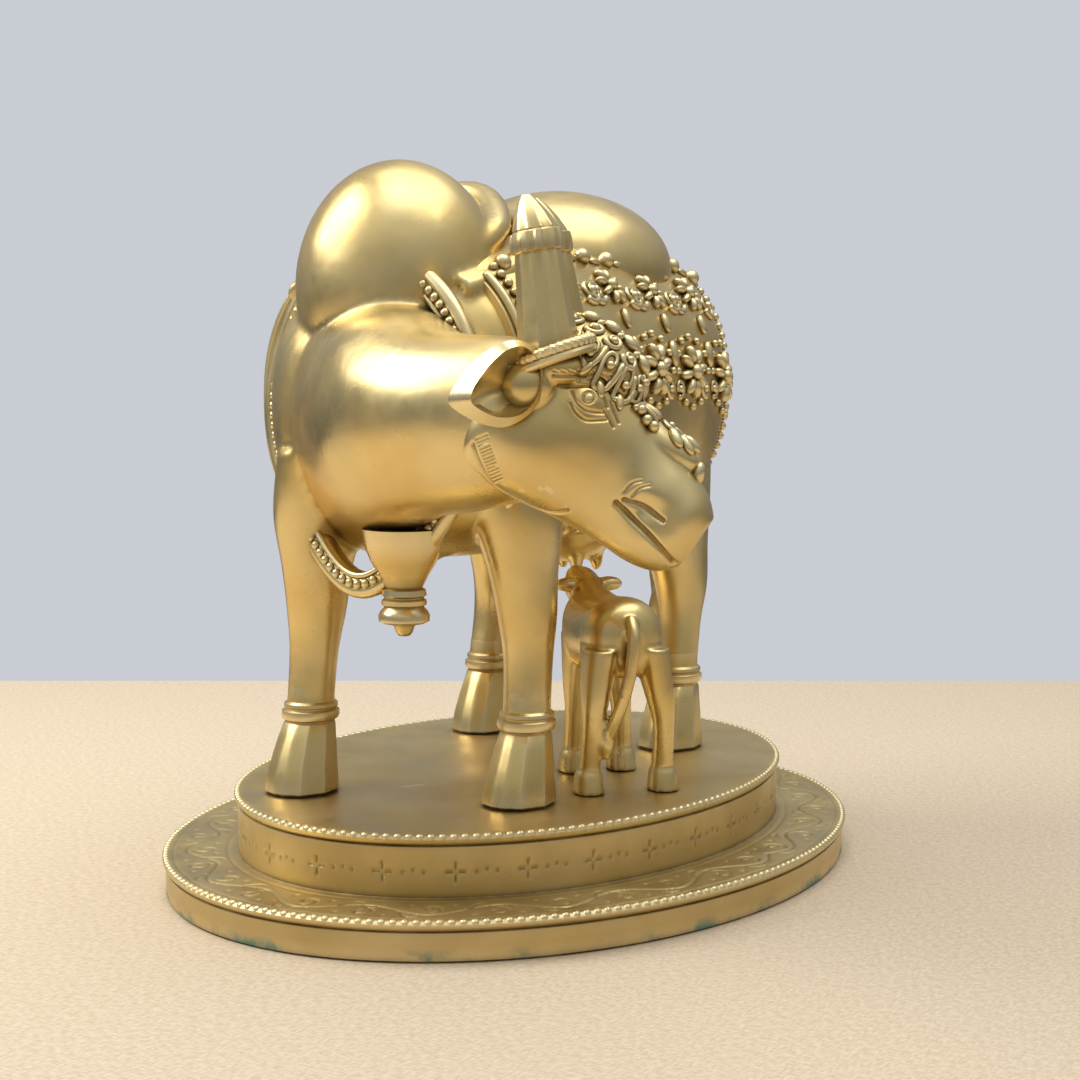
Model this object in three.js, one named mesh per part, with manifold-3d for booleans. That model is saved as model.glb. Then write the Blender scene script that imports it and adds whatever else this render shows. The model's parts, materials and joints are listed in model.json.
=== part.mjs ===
// A brass idol: a garlanded cow turning her head back to the calf at her udder, on a two-tier oval plinth.
// Millimetres, +Z up. The origin is the centre of the plinth's underside. The cow's body lies along Y
// and her chest faces -Y; her head is turned to her left, over the +X side.
import * as THREE from "three";
import { mergeVertices } from "three/addons/utils/BufferGeometryUtils.js";
import Module from "manifold-3d";

// Plinth: half lengths along Y, half widths along X, and the heights of the two tiers.
const LOWER_LONG = 96.5;
const LOWER_WIDE = 75.4;
const TIER_STEP = 16.5;
const LOWER_TOP = 8.75;
const PLINTH_TOP = 22.25;
const RIM = 0.9;

// Cow: the line of the spine, the stations of the trunk and the places of the feet.
const SPINE_X = -5;
const CLOTH_RISE = 1.5;
const CLOTH_HEM = 86;
const FORE_RIGHT = [-25, -51];
const FORE_LEFT = [24, -36];
const HIND_RIGHT = [-32, 34];
const HIND_LEFT = [21, 40];
const HOOF_HIGH = 16.5;

// Head: its middle, the way the muzzle points in plan, and half the gap between the horns.
const HEAD_AT = [60.2, -68];
const HEAD_TURN = 22.5 * (Math.PI / 180);
const HORN_SPREAD = 7.6;

// Calf: where the hips stand and the way it faces in plan.
const CALF_AT = [35, -11];
const CALF_TURN = 136 * (Math.PI / 180);

const BRASS = { color: 0xb8964a, roughness: 0.34, metalness: 0.95 };

const wasm = await Module();
wasm.setup();

// One closed solid from a geometry, whichever way its faces were wound.
function solid(geometry) {
  const plain = geometry.clone();
  plain.deleteAttribute("normal");
  plain.deleteAttribute("uv");
  const merged = mergeVertices(plain, 1e-4);
  const p = merged.attributes.position;
  const tri = new Uint32Array(merged.index.array);
  const at = (i) => new THREE.Vector3().fromBufferAttribute(p, i);
  let volume = 0;
  for (let i = 0; i < tri.length; i += 3) {
    volume += at(tri[i]).dot(at(tri[i + 1]).cross(at(tri[i + 2])));
  }
  if (volume < 0) {
    for (let i = 0; i < tri.length; i += 3) {
      [tri[i + 1], tri[i + 2]] = [tri[i + 2], tri[i + 1]];
    }
  }
  const mesh = new wasm.Mesh({ numProp: 3, vertProperties: p.array, triVerts: tri });
  return new wasm.Manifold(mesh);
}

// All solids of a list joined into one.
function joined(list) {
  return list.reduce((sum, next) => sum.add(next));
}

// A skin over rings of the same number of points, closed at both ends.
function skin(rings) {
  const count = rings[0].length;
  const points = rings.flat();
  const index = [];
  for (let r = 0; r + 1 < rings.length; r += 1) {
    for (let i = 0; i < count; i += 1) {
      const j = (i + 1) % count;
      const a = r * count;
      const b = a + count;
      index.push(a + i, a + j, b + j, a + i, b + j, b + i);
    }
  }
  const middle = (ring) => ring.reduce((s, v) => s.add(v), new THREE.Vector3()).divideScalar(count);
  points.push(middle(rings[0]), middle(rings[rings.length - 1]));
  const last = (rings.length - 1) * count;
  for (let i = 0; i < count; i += 1) {
    const j = (i + 1) % count;
    index.push(count * rings.length, j, i);
    index.push(count * rings.length + 1, last + i, last + j);
  }
  const geometry = new THREE.BufferGeometry().setFromPoints(points);
  geometry.setIndex(index);
  return solid(geometry);
}

// One ring of a rounded section: half sizes across, above and below, squarer as the power grows.
function ring(centre, across, upward, half, above, below, power, count) {
  const out = [];
  for (let i = 0; i < count; i += 1) {
    const t = (2 * Math.PI * i) / count;
    const c = Math.cos(t);
    const s = Math.sin(t);
    const u = half * Math.sign(c) * Math.abs(c) ** (2 / power);
    const v = (s > 0 ? above : below) * Math.sign(s) * Math.abs(s) ** (2 / power);
    out.push(centre.clone().addScaledVector(across, u).addScaledVector(upward, v));
  }
  return out;
}

const X = new THREE.Vector3(1, 0, 0);
const Y = new THREE.Vector3(0, 1, 0);
const Z = new THREE.Vector3(0, 0, 1);

// A row of hand-set stations read at any place between them, with an easy curve.
function eased(rows, at) {
  let k = 0;
  while (k + 2 < rows.length && rows[k + 1][0] < at) {
    k += 1;
  }
  const w = THREE.MathUtils.clamp((at - rows[k][0]) / (rows[k + 1][0] - rows[k][0]), 0, 1);
  const before = rows[Math.max(k - 1, 0)];
  const after = rows[Math.min(k + 2, rows.length - 1)];
  return rows[k].map((value, c) => {
    const p0 = before[c];
    const p3 = after[c];
    const p2 = rows[k + 1][c];
    const bend = (2 * p0 - 5 * value + 4 * p2 - p3) * w * w;
    return 0.5 * (2 * value + (p2 - p0) * w + bend + (3 * value - p0 - 3 * p2 + p3) * w ** 3);
  });
}

// An upright limb from rows of height, centre and half sizes.
function limb(rows, count) {
  return skin(rows.map(([z, x, y, rx, ry]) => ring(new THREE.Vector3(x, y, z), X, Y, rx, ry, ry, 2.2, count)));
}

// A ball stretched to three half sizes, turned about Z, at a place.
function ball(place, sizes, turn, wide, high) {
  const geometry = new THREE.SphereGeometry(1, wide, high);
  geometry.rotateX(Math.PI / 2);
  geometry.scale(...sizes);
  geometry.rotateZ(turn);
  geometry.translate(...place);
  return solid(geometry);
}

// A small bead.
function bead(place, radius) {
  const geometry = new THREE.IcosahedronGeometry(radius, 0);
  geometry.translate(...place);
  return solid(geometry);
}

// A round cord through points, its ends sunk in what it lies on.
function cord(points, radius, steps, sides) {
  const curve = new THREE.CatmullRomCurve3(points.map((p) => new THREE.Vector3(...p)));
  const rings = [];
  for (let i = 0; i <= steps; i += 1) {
    const tangent = curve.getTangent(i / steps);
    const side = new THREE.Vector3().crossVectors(tangent, Math.abs(tangent.z) > 0.9 ? Y : Z).normalize();
    const over = new THREE.Vector3().crossVectors(side, tangent);
    rings.push(ring(curve.getPoint(i / steps), side, over, radius, radius, radius, 2, sides));
  }
  return skin(rings);
}

// Plinth.
function tier(long, wide, low, high, sides) {
  const levels = [
    [low, 0],
    [high - 2.6, 0],
    [high - 2.2, -0.35],
    [high - 0.9, RIM],
    [high, RIM * 0.2],
  ];
  const at = new THREE.Vector3();
  return skin(levels.map(([z, out]) => ring(at.clone().setZ(z), X, Y, wide + out, long + out, long + out, 2, sides)));
}

function plinth() {
  const lower = tier(LOWER_LONG - RIM, LOWER_WIDE - RIM, 0, LOWER_TOP, 56);
  const long = LOWER_LONG - TIER_STEP - RIM;
  const upper = tier(long, LOWER_WIDE - TIER_STEP - RIM, LOWER_TOP - 2, PLINTH_TOP, 56);
  return lower.add(upper);
}

// The trunk: Y, half width, top and underside.
const TRUNK = [
  [-61, 15, 122, 94],
  [-58, 22, 130, 88],
  [-51, 29, 139, 81],
  [-44, 34, 144, 77.5],
  [-34, 37, 147, 75.5],
  [-16, 38.5, 148.5, 75],
  [4, 38, 148, 76],
  [24, 37, 148, 77],
  [40, 36, 148.5, 78],
  [52, 32.5, 146, 82],
  [61, 24, 139, 90],
  [66, 12.5, 129, 101],
];

function trunkRing(y, grow, count) {
  const [, half, top, low] = eased(TRUNK, y);
  const middle = (top + low) / 2;
  const tall = (top - low) / 2 + grow;
  return ring(new THREE.Vector3(SPINE_X, y, middle), X, Z, half + grow, tall, tall, 2.3, count);
}

// A place on the trunk's skin at Y and a height, on the side of the sign.
function onTrunk(y, z, side, grow) {
  const [, half, top, low] = eased(TRUNK, y);
  const middle = (top + low) / 2;
  const share = THREE.MathUtils.clamp(Math.abs(z - middle) / ((top - low) / 2 + grow), 0, 1);
  return [SPINE_X + side * (half + grow) * (1 - share ** 2.3) ** (1 / 2.3), y, z];
}

function trunk() {
  const places = [-61, -58, -51, -44, -34, -20, -4, 12, 26, 40, 50, 57, 62, 66];
  return skin(places.map((y) => trunkRing(y, 0, 22)));
}

// The saddle cloth, with a beaded border, rosettes and a fringe of drops on each flank.
function cloth() {
  const places = [-47, -44, -34, -16, 4, 24, 40, 50, 57];
  const sheet = skin(places.map((y) => trunkRing(y, CLOTH_RISE, 22)));
  const below = new THREE.BoxGeometry(200, 200, 60);
  below.translate(0, 0, CLOTH_HEM - 30);
  const parts = [sheet.subtract(solid(below))];
  for (const side of [-1, 1]) {
    for (let y = -42; y <= 54; y += 12) {
      const hem = onTrunk(y, CLOTH_HEM - 0.5, side, 0.6);
      parts.push(ball(hem, [1.6, 3.4, 4.4], 0, 6, 3));
    }
    for (let y = -36; y <= 48; y += 21) {
      for (const z of [103, 125]) {
        parts.push(ball(onTrunk(y, z, side, CLOTH_RISE - 0.4), [2.8, 5.4, 5.4], 0, 6, 3));
      }
    }
  }
  return joined(parts);
}

// The hump and the round saddle pad behind it, each with a rolled edge.
function hump() {
  const parts = [ball([-6, -39.5, 136], [23.5, 23, 28.6], 0, 18, 8)];
  const inner = [[8, -48, 141], [13, -40, 143.5], [12, -28, 149.6], [3.5, -18, 156], [-6, -14, 158.5]];
  const outer = [[16, -48, 135], [19.5, -37, 138.5], [18.5, -25, 144.5], [9, -13, 151], [-6, -8, 153]];
  for (const [half, thick] of [[inner, 3.4], [outer, 3]]) {
    const across = half.slice(0, -1).map(([x, y, z]) => [-12 - x, y, z]).reverse();
    parts.push(cord([...half, ...across], thick, 13, 6));
  }
  return joined(parts);
}

function pad() {
  return ball([-4, 24, 142], [29, 28, 20], 0, 16, 7);
}

// The collar: a band round the foot of the neck, with a bead row and a pointed drop for the bell.
const COLLAR = [
  [-8, -49, 142],
  [8, -51, 138],
  [20, -53, 126],
  [24, -54, 108],
  [17, -54, 89],
  [4, -56, 75],
  [-6, -56, 72],
  [-17, -54, 80],
  [-29, -50, 96],
  [-33, -48, 112],
  [-28, -47, 129],
  [-19, -48, 138],
];

function collar() {
  const curve = new THREE.CatmullRomCurve3(COLLAR.map((p) => new THREE.Vector3(...p)), true);
  const centre = new THREE.Vector3(SPINE_X, -46, 107);
  const geometry = new THREE.TorusGeometry(1, 0.1, 5, 24);
  const p = geometry.attributes.position;
  for (let i = 0; i <= 5; i += 1) {
    for (let j = 0; j <= 24; j += 1) {
      const at = curve.getPoint((j % 24) / 24);
      const out = at.clone().sub(centre).setY(0).normalize();
      const t = (2 * Math.PI * (i % 5)) / 5;
      at.addScaledVector(out, 2.6 * Math.cos(t)).addScaledVector(Y, 3.4 * Math.sin(t));
      p.setXYZ(i * 25 + j, at.x, at.y, at.z);
    }
  }
  const parts = [solid(geometry)];
  for (let j = 0; j < 22; j += 1) {
    const at = curve.getPoint(j / 22);
    const out = at.clone().sub(centre).setY(0).normalize();
    at.addScaledVector(out, 1.7).addScaledVector(Y, -2.4);
    parts.push(bead(at.toArray(), 1.5));
  }
  return joined(parts);
}

function bell() {
  const at = (z, half) => ring(new THREE.Vector3(6.5, -56, z), X, Y, half, half, half, 2, 10);
  const flare = [[84, 9], [77, 7.2], [71, 4], [70, 4.9], [68.4, 4.6], [66, 5], [65.4, 5.6], [63.8, 5.4]];
  flare.push([63.4, 2.6], [60.6, 1.4]);
  return skin(flare.map(([z, half]) => at(z, half)));
}

// The neck, curving out of the collar and round to the cow's left.
function neck() {
  const rows = [
    [-5, -38, 108, 0, 28, 34, 34],
    [-4, -48, 107.5, 8, 25, 30, 30],
    [4, -56, 107.5, 30, 20.5, 25.5, 25.5],
    [13, -62.5, 108, 55, 18.5, 22.5, 22.5],
    [24, -67.5, 109, 75, 17, 17.6, 20.8],
    [35, -70.5, 109.5, 90, 15.4, 15.8, 19.8],
    [46, -72, 109, 100, 13.3, 15.6, 17],
    [54, -70, 107, 112, 11, 13, 14],
  ];
  const rings = rows.map(([x, y, z, turn, half, above, below]) => {
    const a = (turn * Math.PI) / 180;
    const across = new THREE.Vector3(Math.cos(a), Math.sin(a), 0);
    return ring(new THREE.Vector3(x, y, z), across, Z, half, above, below, 2.1, 18);
  });
  return skin(rings);
}

// Places in the head's own frame: along the muzzle, out to one cheek, and height.
const ALONG = new THREE.Vector3(Math.cos(HEAD_TURN), Math.sin(HEAD_TURN), 0);
const CHEEK = new THREE.Vector3(Math.sin(HEAD_TURN), -Math.cos(HEAD_TURN), 0);

function headPoint(s, t, z) {
  return new THREE.Vector3(...HEAD_AT, z).addScaledVector(ALONG, s).addScaledVector(CHEEK, t);
}

function headSolid(geometry) {
  const p = geometry.attributes.position;
  for (let i = 0; i < p.count; i += 1) {
    p.setXYZ(i, ...headPoint(p.getX(i), p.getY(i), p.getZ(i)).toArray());
  }
  return solid(geometry);
}

// A stretched ball in the head's frame, tipped down along the muzzle by an angle.
function headBall(s, t, z, sizes, tip, wide, high) {
  const geometry = new THREE.SphereGeometry(1, wide, high);
  geometry.rotateX(Math.PI / 2);
  geometry.scale(...sizes);
  geometry.rotateY(tip);
  geometry.translate(s, t, z);
  return headSolid(geometry);
}

const HEAD_TIP = 34 * (Math.PI / 180);

function head() {
  const rows = [
    [-20, 114, 8, 9, 10],
    [-17, 112, 12.6, 15, 14.6],
    [-11.5, 108, 13.8, 17.2, 15],
    [-5, 103.6, 13.6, 17.2, 13.8],
    [2, 98.8, 11.4, 15, 12.4],
    [8, 94.7, 9.2, 12, 11.8],
    [14, 90.6, 8.6, 10.2, 11.6],
    [18.5, 87.5, 8.4, 8.2, 10],
    [21.5, 85.5, 5.6, 5, 6.4],
  ];
  const upward = ALONG.clone().multiplyScalar(Math.sin(HEAD_TIP)).addScaledVector(Z, Math.cos(HEAD_TIP));
  const skull = rows.map(([s, z, half, above, below]) => {
    return ring(headPoint(s, 0, z), CHEEK, upward, half, above, below, 2.3, 15);
  });
  const parts = [skin(skull)];
  for (const side of [-1, 1]) {
    parts.push(headBall(1.4, 12.4 * side, 113.2, [3.6, 2, 2.2], 0.3, 8, 5));
    parts.push(horn(side));
    parts.push(ear(side));
  }
  parts.push(headBall(2, 0, 124.5, [9.5, 9, 5.4], 0.72, 12, 6));
  parts.push(headBall(11, 0, 112.5, [4.6, 6.5, 4.2], 0.72, 10, 6));
  parts.push(headBall(16, 0, 103.8, [6, 4.6, 3.4], 0.8, 8, 5));
  return joined(parts);
}

// A tapered horn with a ring at its foot and one below the tip.
function horn(side) {
  const rows = [
    [-6.4, 115, 6.8, 0.2],
    [-7, 122.6, 6.8, 0.2],
    [-7.1, 124, 5.7, 0.3],
    [-9.2, 140.6, 4.6, 1.4],
    [-9.3, 141.2, 5, 1.4],
    [-9.7, 144.9, 4.7, 1.8],
    [-9.9, 145.5, 4, 1.8],
    [-11.4, 150.4, 2.4, 2.4],
    [-12, 152, 0.8, 2.8],
  ];
  return skin(rows.map(([s, z, half, inward]) => {
    const at = headPoint(s, side * (HORN_SPREAD - inward), z);
    return ring(at, ALONG, CHEEK, half, half, half, 2, 9);
  }));
}

// A bowl-shaped ear, hollow towards the cheek side.
function ear(side) {
  const outer = headBall(-15.8, side * 15.5, 115.8, [9.4, 5.4, 8], -0.6, 10, 6);
  const inner = headBall(-15.6, side * 19.4, 115.6, [7.4, 5.4, 6], -0.6, 9, 5);
  const root = headBall(-12, side * 11.5, 115.5, [6, 4, 5.5], 0, 7, 5);
  return outer.subtract(inner).add(root);
}

// A leg: the hoof, the pastern with its ring, the shank and the thigh that runs into the trunk.
function leg(foot, side, hind) {
  const [x, y] = foot;
  const inward = -side;
  const back = hind ? 1 : 0;
  const base = PLINTH_TOP;
  const rows = [
    [base, x, y - 1.5, 7.9, 8.9],
    [base + 6, x, y - 1, 7.5, 8.4],
    [base + 13, x, y + 0.6, 6.4, 6.8],
    [base + HOOF_HIGH, x, y + 1.6, 5.9, 6.1],
    [base + HOOF_HIGH + 0.9, x, y + 1.8, 6.5, 6.6],
    [base + HOOF_HIGH + 2.6, x, y + 2, 6.5, 6.6],
    [base + HOOF_HIGH + 3.4, x, y + 2, 5.3, 5.6],
    [base + 32, x + inward * 0.3, y + 3 + back, 5.4, 5.8],
    [base + 41, x + inward * 0.8, y + 3.5 + 2 * back, 6.2, 7.4 + back],
    [base + 52, x + inward * 1.6, y + 3 + back, 7, 9.6 + 2 * back],
    [base + 64, x + inward * 3, y + 3, 9.2, 13 + back],
    [base + 78, x + inward * 6, y + 5, 11, 16],
  ];
  const cleft = new THREE.BoxGeometry(1.1, 7, 13);
  cleft.translate(x, y - 9.6, base + 3.6);
  return limb(rows, 10).subtract(solid(cleft));
}

// The tail, laid down the rump and caught on the inside of the left thigh.
function tail() {
  const rope = [[-5, 60, 143], [-4, 66, 132], [-2, 68, 116], [0, 66, 98], [3, 61, 84], [8, 55, 70], [12, 51, 58]];
  return cord(rope, 2.7, 10, 6).add(ball([12.5, 50.5, 55], [3.8, 4.2, 8], 0, 8, 5));
}

function udder() {
  const parts = [ball([-6, 34, 78], [12, 13, 9.5], 0, 10, 6)];
  for (const [x, y] of [[-11, 29], [-1, 29], [-11, 39], [-1, 39]]) {
    parts.push(ball([x, y, 70], [1.9, 1.9, 4.2], 0, 6, 3));
  }
  return joined(parts);
}

// A string of drops at the right front corner of the cloth, lying against the shoulder.
function strings() {
  const parts = [];
  for (let k = 0; k < 5; k += 1) {
    const size = [3.6 - 0.1 * k, 2.6, 3.2];
    parts.push(ball([-33.2 + 0.4 * k, -46, 80 - 4.9 * k], size, 0, 6, 3));
  }
  return joined(parts);
}

function cow() {
  const parts = [trunk(), cloth(), hump(), pad(), neck(), collar(), bell(), head(), tail(), udder(), strings()];
  parts.push(leg(FORE_RIGHT, -1, false), leg(FORE_LEFT, 1, false));
  parts.push(leg(HIND_RIGHT, -1, true), leg(HIND_LEFT, 1, true));
  return joined(parts);
}

// The calf, in its own frame: it faces +X, then it is turned and set down by the cow.
const CALF_FRAME = new THREE.Matrix4().makeRotationZ(CALF_TURN).setPosition(...CALF_AT, PLINTH_TOP);

function calfBall(place, sizes, tip, wide, high) {
  const geometry = new THREE.SphereGeometry(1, wide, high);
  geometry.rotateX(Math.PI / 2);
  geometry.scale(...sizes);
  geometry.rotateY(tip);
  geometry.translate(...place);
  return solid(geometry.applyMatrix4(CALF_FRAME));
}

function calfRings(rows, count) {
  return skin(rows.map((r) => {
    const flat = ring(new THREE.Vector3(r[0], r[1], r[2]), r[5] ? X : Y, r[5] ? Y : Z, r[3], r[4], r[4], 2.2, count);
    return flat.map((v) => v.applyMatrix4(CALF_FRAME));
  }));
}

function calf() {
  const parts = [];
  const trunkRows = [
    [-8, 0, 34, 3.5, 4.5],
    [-6, 0, 34.5, 7, 8],
    [-1, 0, 35, 9.2, 9.2],
    [8, 0, 34.5, 9.4, 9],
    [18, 0, 34, 8.8, 9],
    [25, 0, 35, 7.4, 8.6],
    [29, 0, 36, 4, 5.5],
  ];
  parts.push(calfRings(trunkRows, 14));
  const neckRows = [[18, 0, 36, 5.5, 7.5], [24, 0, 38.5, 4.8, 6.4], [29, 0, 41, 4.2, 5.4], [33, 0, 42.4, 3.8, 4.8]];
  parts.push(calfRings(neckRows, 10));
  parts.push(calfBall([33, 0, 42.6], [7.6, 4.6, 4.4], -0.42, 10, 6));
  parts.push(calfBall([37.6, 0, 44.4], [4.2, 3.2, 2.9], -0.5, 8, 5));
  for (const side of [-1, 1]) {
    parts.push(calfBall([28.5, 5 * side, 44], [2, 3.6, 1.8], 0, 8, 5));
    for (const [at, wide] of [[-3.5, 8.8], [21, 6]]) {
      const y = side * wide;
      const lift = at < 0 ? 1 : 0;
      const shank = [
        [at - 0.6, y, 0, 4.3, 3.6, 1],
        [at - 0.4, y, 4.6, 3.6, 3.1, 1],
        [at - 0.8, y * 0.98, 6, 2.7, 2.5, 1],
        [at - 1.4 - lift, y * 0.95, 15, 2.6, 2.4, 1],
        [at - 0.6 - lift, y * 0.86, 22, 4.2, 3.2, 1],
        [at + 1, y * 0.66, 33, 6.6, 4.2, 1],
      ];
      parts.push(calfRings(shank, 8));
    }
  }
  const dock = [[-7, 0, 40], [-10, 0, 36], [-10.5, 1, 28], [-9.5, 3, 20], [-7.5, 5, 14]];
  parts.push(cord(dock.map((p) => new THREE.Vector3(...p).applyMatrix4(CALF_FRAME).toArray()), 1.5, 10, 6));
  parts.push(calfBall([-7, 5.6, 12], [1.9, 1.9, 4], 0, 7, 5));
  return joined(parts);
}

// A named mesh of a solid.
function piece(name, made) {
  const mesh = made.getMesh();
  const step = mesh.numProp;
  const flat = [];
  for (let i = 0; i < mesh.numVert; i += 1) {
    flat.push(...mesh.vertProperties.slice(i * step, i * step + 3));
  }
  const geometry = new THREE.BufferGeometry();
  geometry.setAttribute("position", new THREE.Float32BufferAttribute(flat, 3));
  geometry.setIndex([...mesh.triVerts]);
  geometry.computeVertexNormals();
  const out = new THREE.Mesh(geometry, new THREE.MeshStandardMaterial(BRASS));
  out.name = name;
  return out;
}

const group = new THREE.Group();
group.name = "cow_and_calf_idol";
group.add(piece("plinth", plinth()));
group.add(piece("cow", cow()));
group.add(piece("calf", calf()));

export default group;
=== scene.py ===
"""A cast brass group, a garlanded cow with her calf on an oval plinth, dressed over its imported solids.

All sizes are millimetres until a mesh is made. The cow lies along Y with her chest towards -Y, and her
head is turned to her left, over +X. Finer relief than the solids hold is made here: bead rows, scrolls,
rosettes, tassels, engraved lines, file-cut rims and the aged brass itself.
"""

import json
import logging
import math
from dataclasses import dataclass
from enum import Enum
from functools import lru_cache

import bmesh
import bpy
import numpy as np
from mathutils import Vector
from mathutils.bvhtree import BVHTree
from mathutils.kdtree import KDTree
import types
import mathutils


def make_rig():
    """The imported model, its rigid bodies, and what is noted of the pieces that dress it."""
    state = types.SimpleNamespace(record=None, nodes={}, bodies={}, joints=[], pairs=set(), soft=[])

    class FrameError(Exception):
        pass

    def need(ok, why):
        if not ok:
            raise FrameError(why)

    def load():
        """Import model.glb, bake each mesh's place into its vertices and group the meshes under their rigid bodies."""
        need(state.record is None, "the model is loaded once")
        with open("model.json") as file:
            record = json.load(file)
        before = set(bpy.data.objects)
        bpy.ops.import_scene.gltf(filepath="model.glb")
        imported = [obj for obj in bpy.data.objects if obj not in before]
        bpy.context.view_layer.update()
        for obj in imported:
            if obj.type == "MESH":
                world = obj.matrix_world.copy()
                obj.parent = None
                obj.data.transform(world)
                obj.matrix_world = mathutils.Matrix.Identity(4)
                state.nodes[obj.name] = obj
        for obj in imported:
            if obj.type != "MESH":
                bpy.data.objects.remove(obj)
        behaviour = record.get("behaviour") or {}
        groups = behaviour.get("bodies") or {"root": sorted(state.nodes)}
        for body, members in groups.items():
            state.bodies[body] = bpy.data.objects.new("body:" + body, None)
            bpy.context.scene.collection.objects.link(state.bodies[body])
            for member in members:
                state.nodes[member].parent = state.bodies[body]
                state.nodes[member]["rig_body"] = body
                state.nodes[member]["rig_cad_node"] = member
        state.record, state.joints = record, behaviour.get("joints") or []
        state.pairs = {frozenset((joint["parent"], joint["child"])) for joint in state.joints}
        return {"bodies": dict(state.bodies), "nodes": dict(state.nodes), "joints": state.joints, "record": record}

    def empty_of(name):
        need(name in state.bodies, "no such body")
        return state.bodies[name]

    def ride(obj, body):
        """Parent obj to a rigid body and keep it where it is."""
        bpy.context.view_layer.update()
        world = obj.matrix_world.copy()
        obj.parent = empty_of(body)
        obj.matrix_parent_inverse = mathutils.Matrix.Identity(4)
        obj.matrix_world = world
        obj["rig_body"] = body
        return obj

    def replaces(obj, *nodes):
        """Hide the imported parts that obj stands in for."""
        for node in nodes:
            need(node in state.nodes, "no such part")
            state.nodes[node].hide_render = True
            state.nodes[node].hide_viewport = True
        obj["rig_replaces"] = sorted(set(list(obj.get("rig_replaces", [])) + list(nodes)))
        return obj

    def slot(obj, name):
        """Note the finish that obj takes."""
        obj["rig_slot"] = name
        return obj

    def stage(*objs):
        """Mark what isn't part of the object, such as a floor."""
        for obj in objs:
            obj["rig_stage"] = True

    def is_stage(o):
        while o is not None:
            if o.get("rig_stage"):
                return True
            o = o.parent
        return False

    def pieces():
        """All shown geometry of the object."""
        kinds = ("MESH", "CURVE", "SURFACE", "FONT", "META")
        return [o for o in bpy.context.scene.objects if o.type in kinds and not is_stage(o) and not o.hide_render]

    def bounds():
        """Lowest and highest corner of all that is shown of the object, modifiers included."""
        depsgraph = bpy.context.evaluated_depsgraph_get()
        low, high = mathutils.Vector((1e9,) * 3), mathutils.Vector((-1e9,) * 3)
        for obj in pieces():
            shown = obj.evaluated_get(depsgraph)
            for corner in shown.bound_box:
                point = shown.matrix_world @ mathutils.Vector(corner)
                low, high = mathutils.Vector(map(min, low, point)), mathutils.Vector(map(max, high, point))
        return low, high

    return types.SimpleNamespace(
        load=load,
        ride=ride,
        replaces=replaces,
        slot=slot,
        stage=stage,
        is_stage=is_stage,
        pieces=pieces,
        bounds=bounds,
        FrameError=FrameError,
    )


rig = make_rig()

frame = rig.load()
CAD_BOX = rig.bounds()

MM = 0.001
PLINTH_TOP = 22.25
UP = np.array([0.0, 0.0, 1.0])
LOG = logging.getLogger("cow_and_calf")


class Slot(Enum):
    """The two finishes of the group."""

    FIGURE = "figure_brass"
    PLINTH = "plinth_brass"


def unit(vector: np.ndarray) -> np.ndarray:
    """A vector, or rows of vectors, at length one."""
    return vector / np.maximum(np.linalg.norm(vector, axis=-1, keepdims=True), 1e-9)


def refined(rows: list | np.ndarray, steps: int, closed: bool = False) -> np.ndarray:
    """An easy curve through given rows.

    Args:
        rows: The rows to pass through.
        steps: How many places are read between each row and the next.
        closed: Whether the last row runs on into the first.

    Returns:
        The rows in between, with the given ones among them.
    """
    rows = np.asarray(rows, float)
    count = len(rows)
    spans = count if closed else count - 1
    w = (np.arange(spans * steps) % steps / steps)[:, None]
    k = np.arange(spans * steps) // steps
    if closed:
        p0, p1, p2, p3 = (rows[(k + shift) % count] for shift in (-1, 0, 1, 2))
    else:
        p0, p1, p2, p3 = (rows[np.clip(k + shift, 0, count - 1)] for shift in (-1, 0, 1, 2))
    bend = (2 * p0 - 5 * p1 + 4 * p2 - p3) * w**2
    out = 0.5 * (2 * p1 + (p2 - p0) * w + bend + (3 * p1 - p0 - 3 * p2 + p3) * w**3)
    return out if closed else np.vstack([out, rows[-1]])


def paced(path: list | np.ndarray, pace: float, closed: bool = False) -> np.ndarray:
    """A curve through points, read at an even pace.

    Args:
        path: The points to pass through.
        pace: The distance from one reading to the next.
        closed: Whether the curve closes on itself.

    Returns:
        The evenly spaced points.
    """
    fine = refined(path, 12, closed)
    if closed:
        fine = np.vstack([fine, fine[:1]])
    run = np.concatenate([[0], np.cumsum(np.linalg.norm(np.diff(fine, axis=0), axis=1))])
    count = max(int(round(run[-1] / pace)), 2)
    at = np.linspace(0, run[-1], count + 1)[: count if closed else count + 1]
    return np.stack([np.interp(at, run, fine[:, c]) for c in range(fine.shape[1])], 1)


def section(
    centre: np.ndarray,
    across: np.ndarray,
    upward: np.ndarray,
    half: float,
    above: float,
    below: float,
    power: float = 2.2,
    count: int = 48,
) -> np.ndarray:
    """One rounded cross-section.

    Args:
        centre: Its middle.
        across: The unit direction of its width.
        upward: The unit direction of its height.
        half: Half its width.
        above: Its height above the middle.
        below: Its depth below the middle.
        power: 2 for an ellipse, and squarer as it grows.
        count: How many points it has.

    Returns:
        The points of the section, in turn.
    """
    angle = np.linspace(0, 2 * np.pi, count, endpoint=False)
    c, s = np.cos(angle), np.sin(angle)
    u = half * np.sign(c) * np.abs(c) ** (2 / power)
    v = np.where(s > 0, above, below) * np.sign(s) * np.abs(s) ** (2 / power)
    return centre + np.outer(u, across) + np.outer(v, upward)


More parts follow.
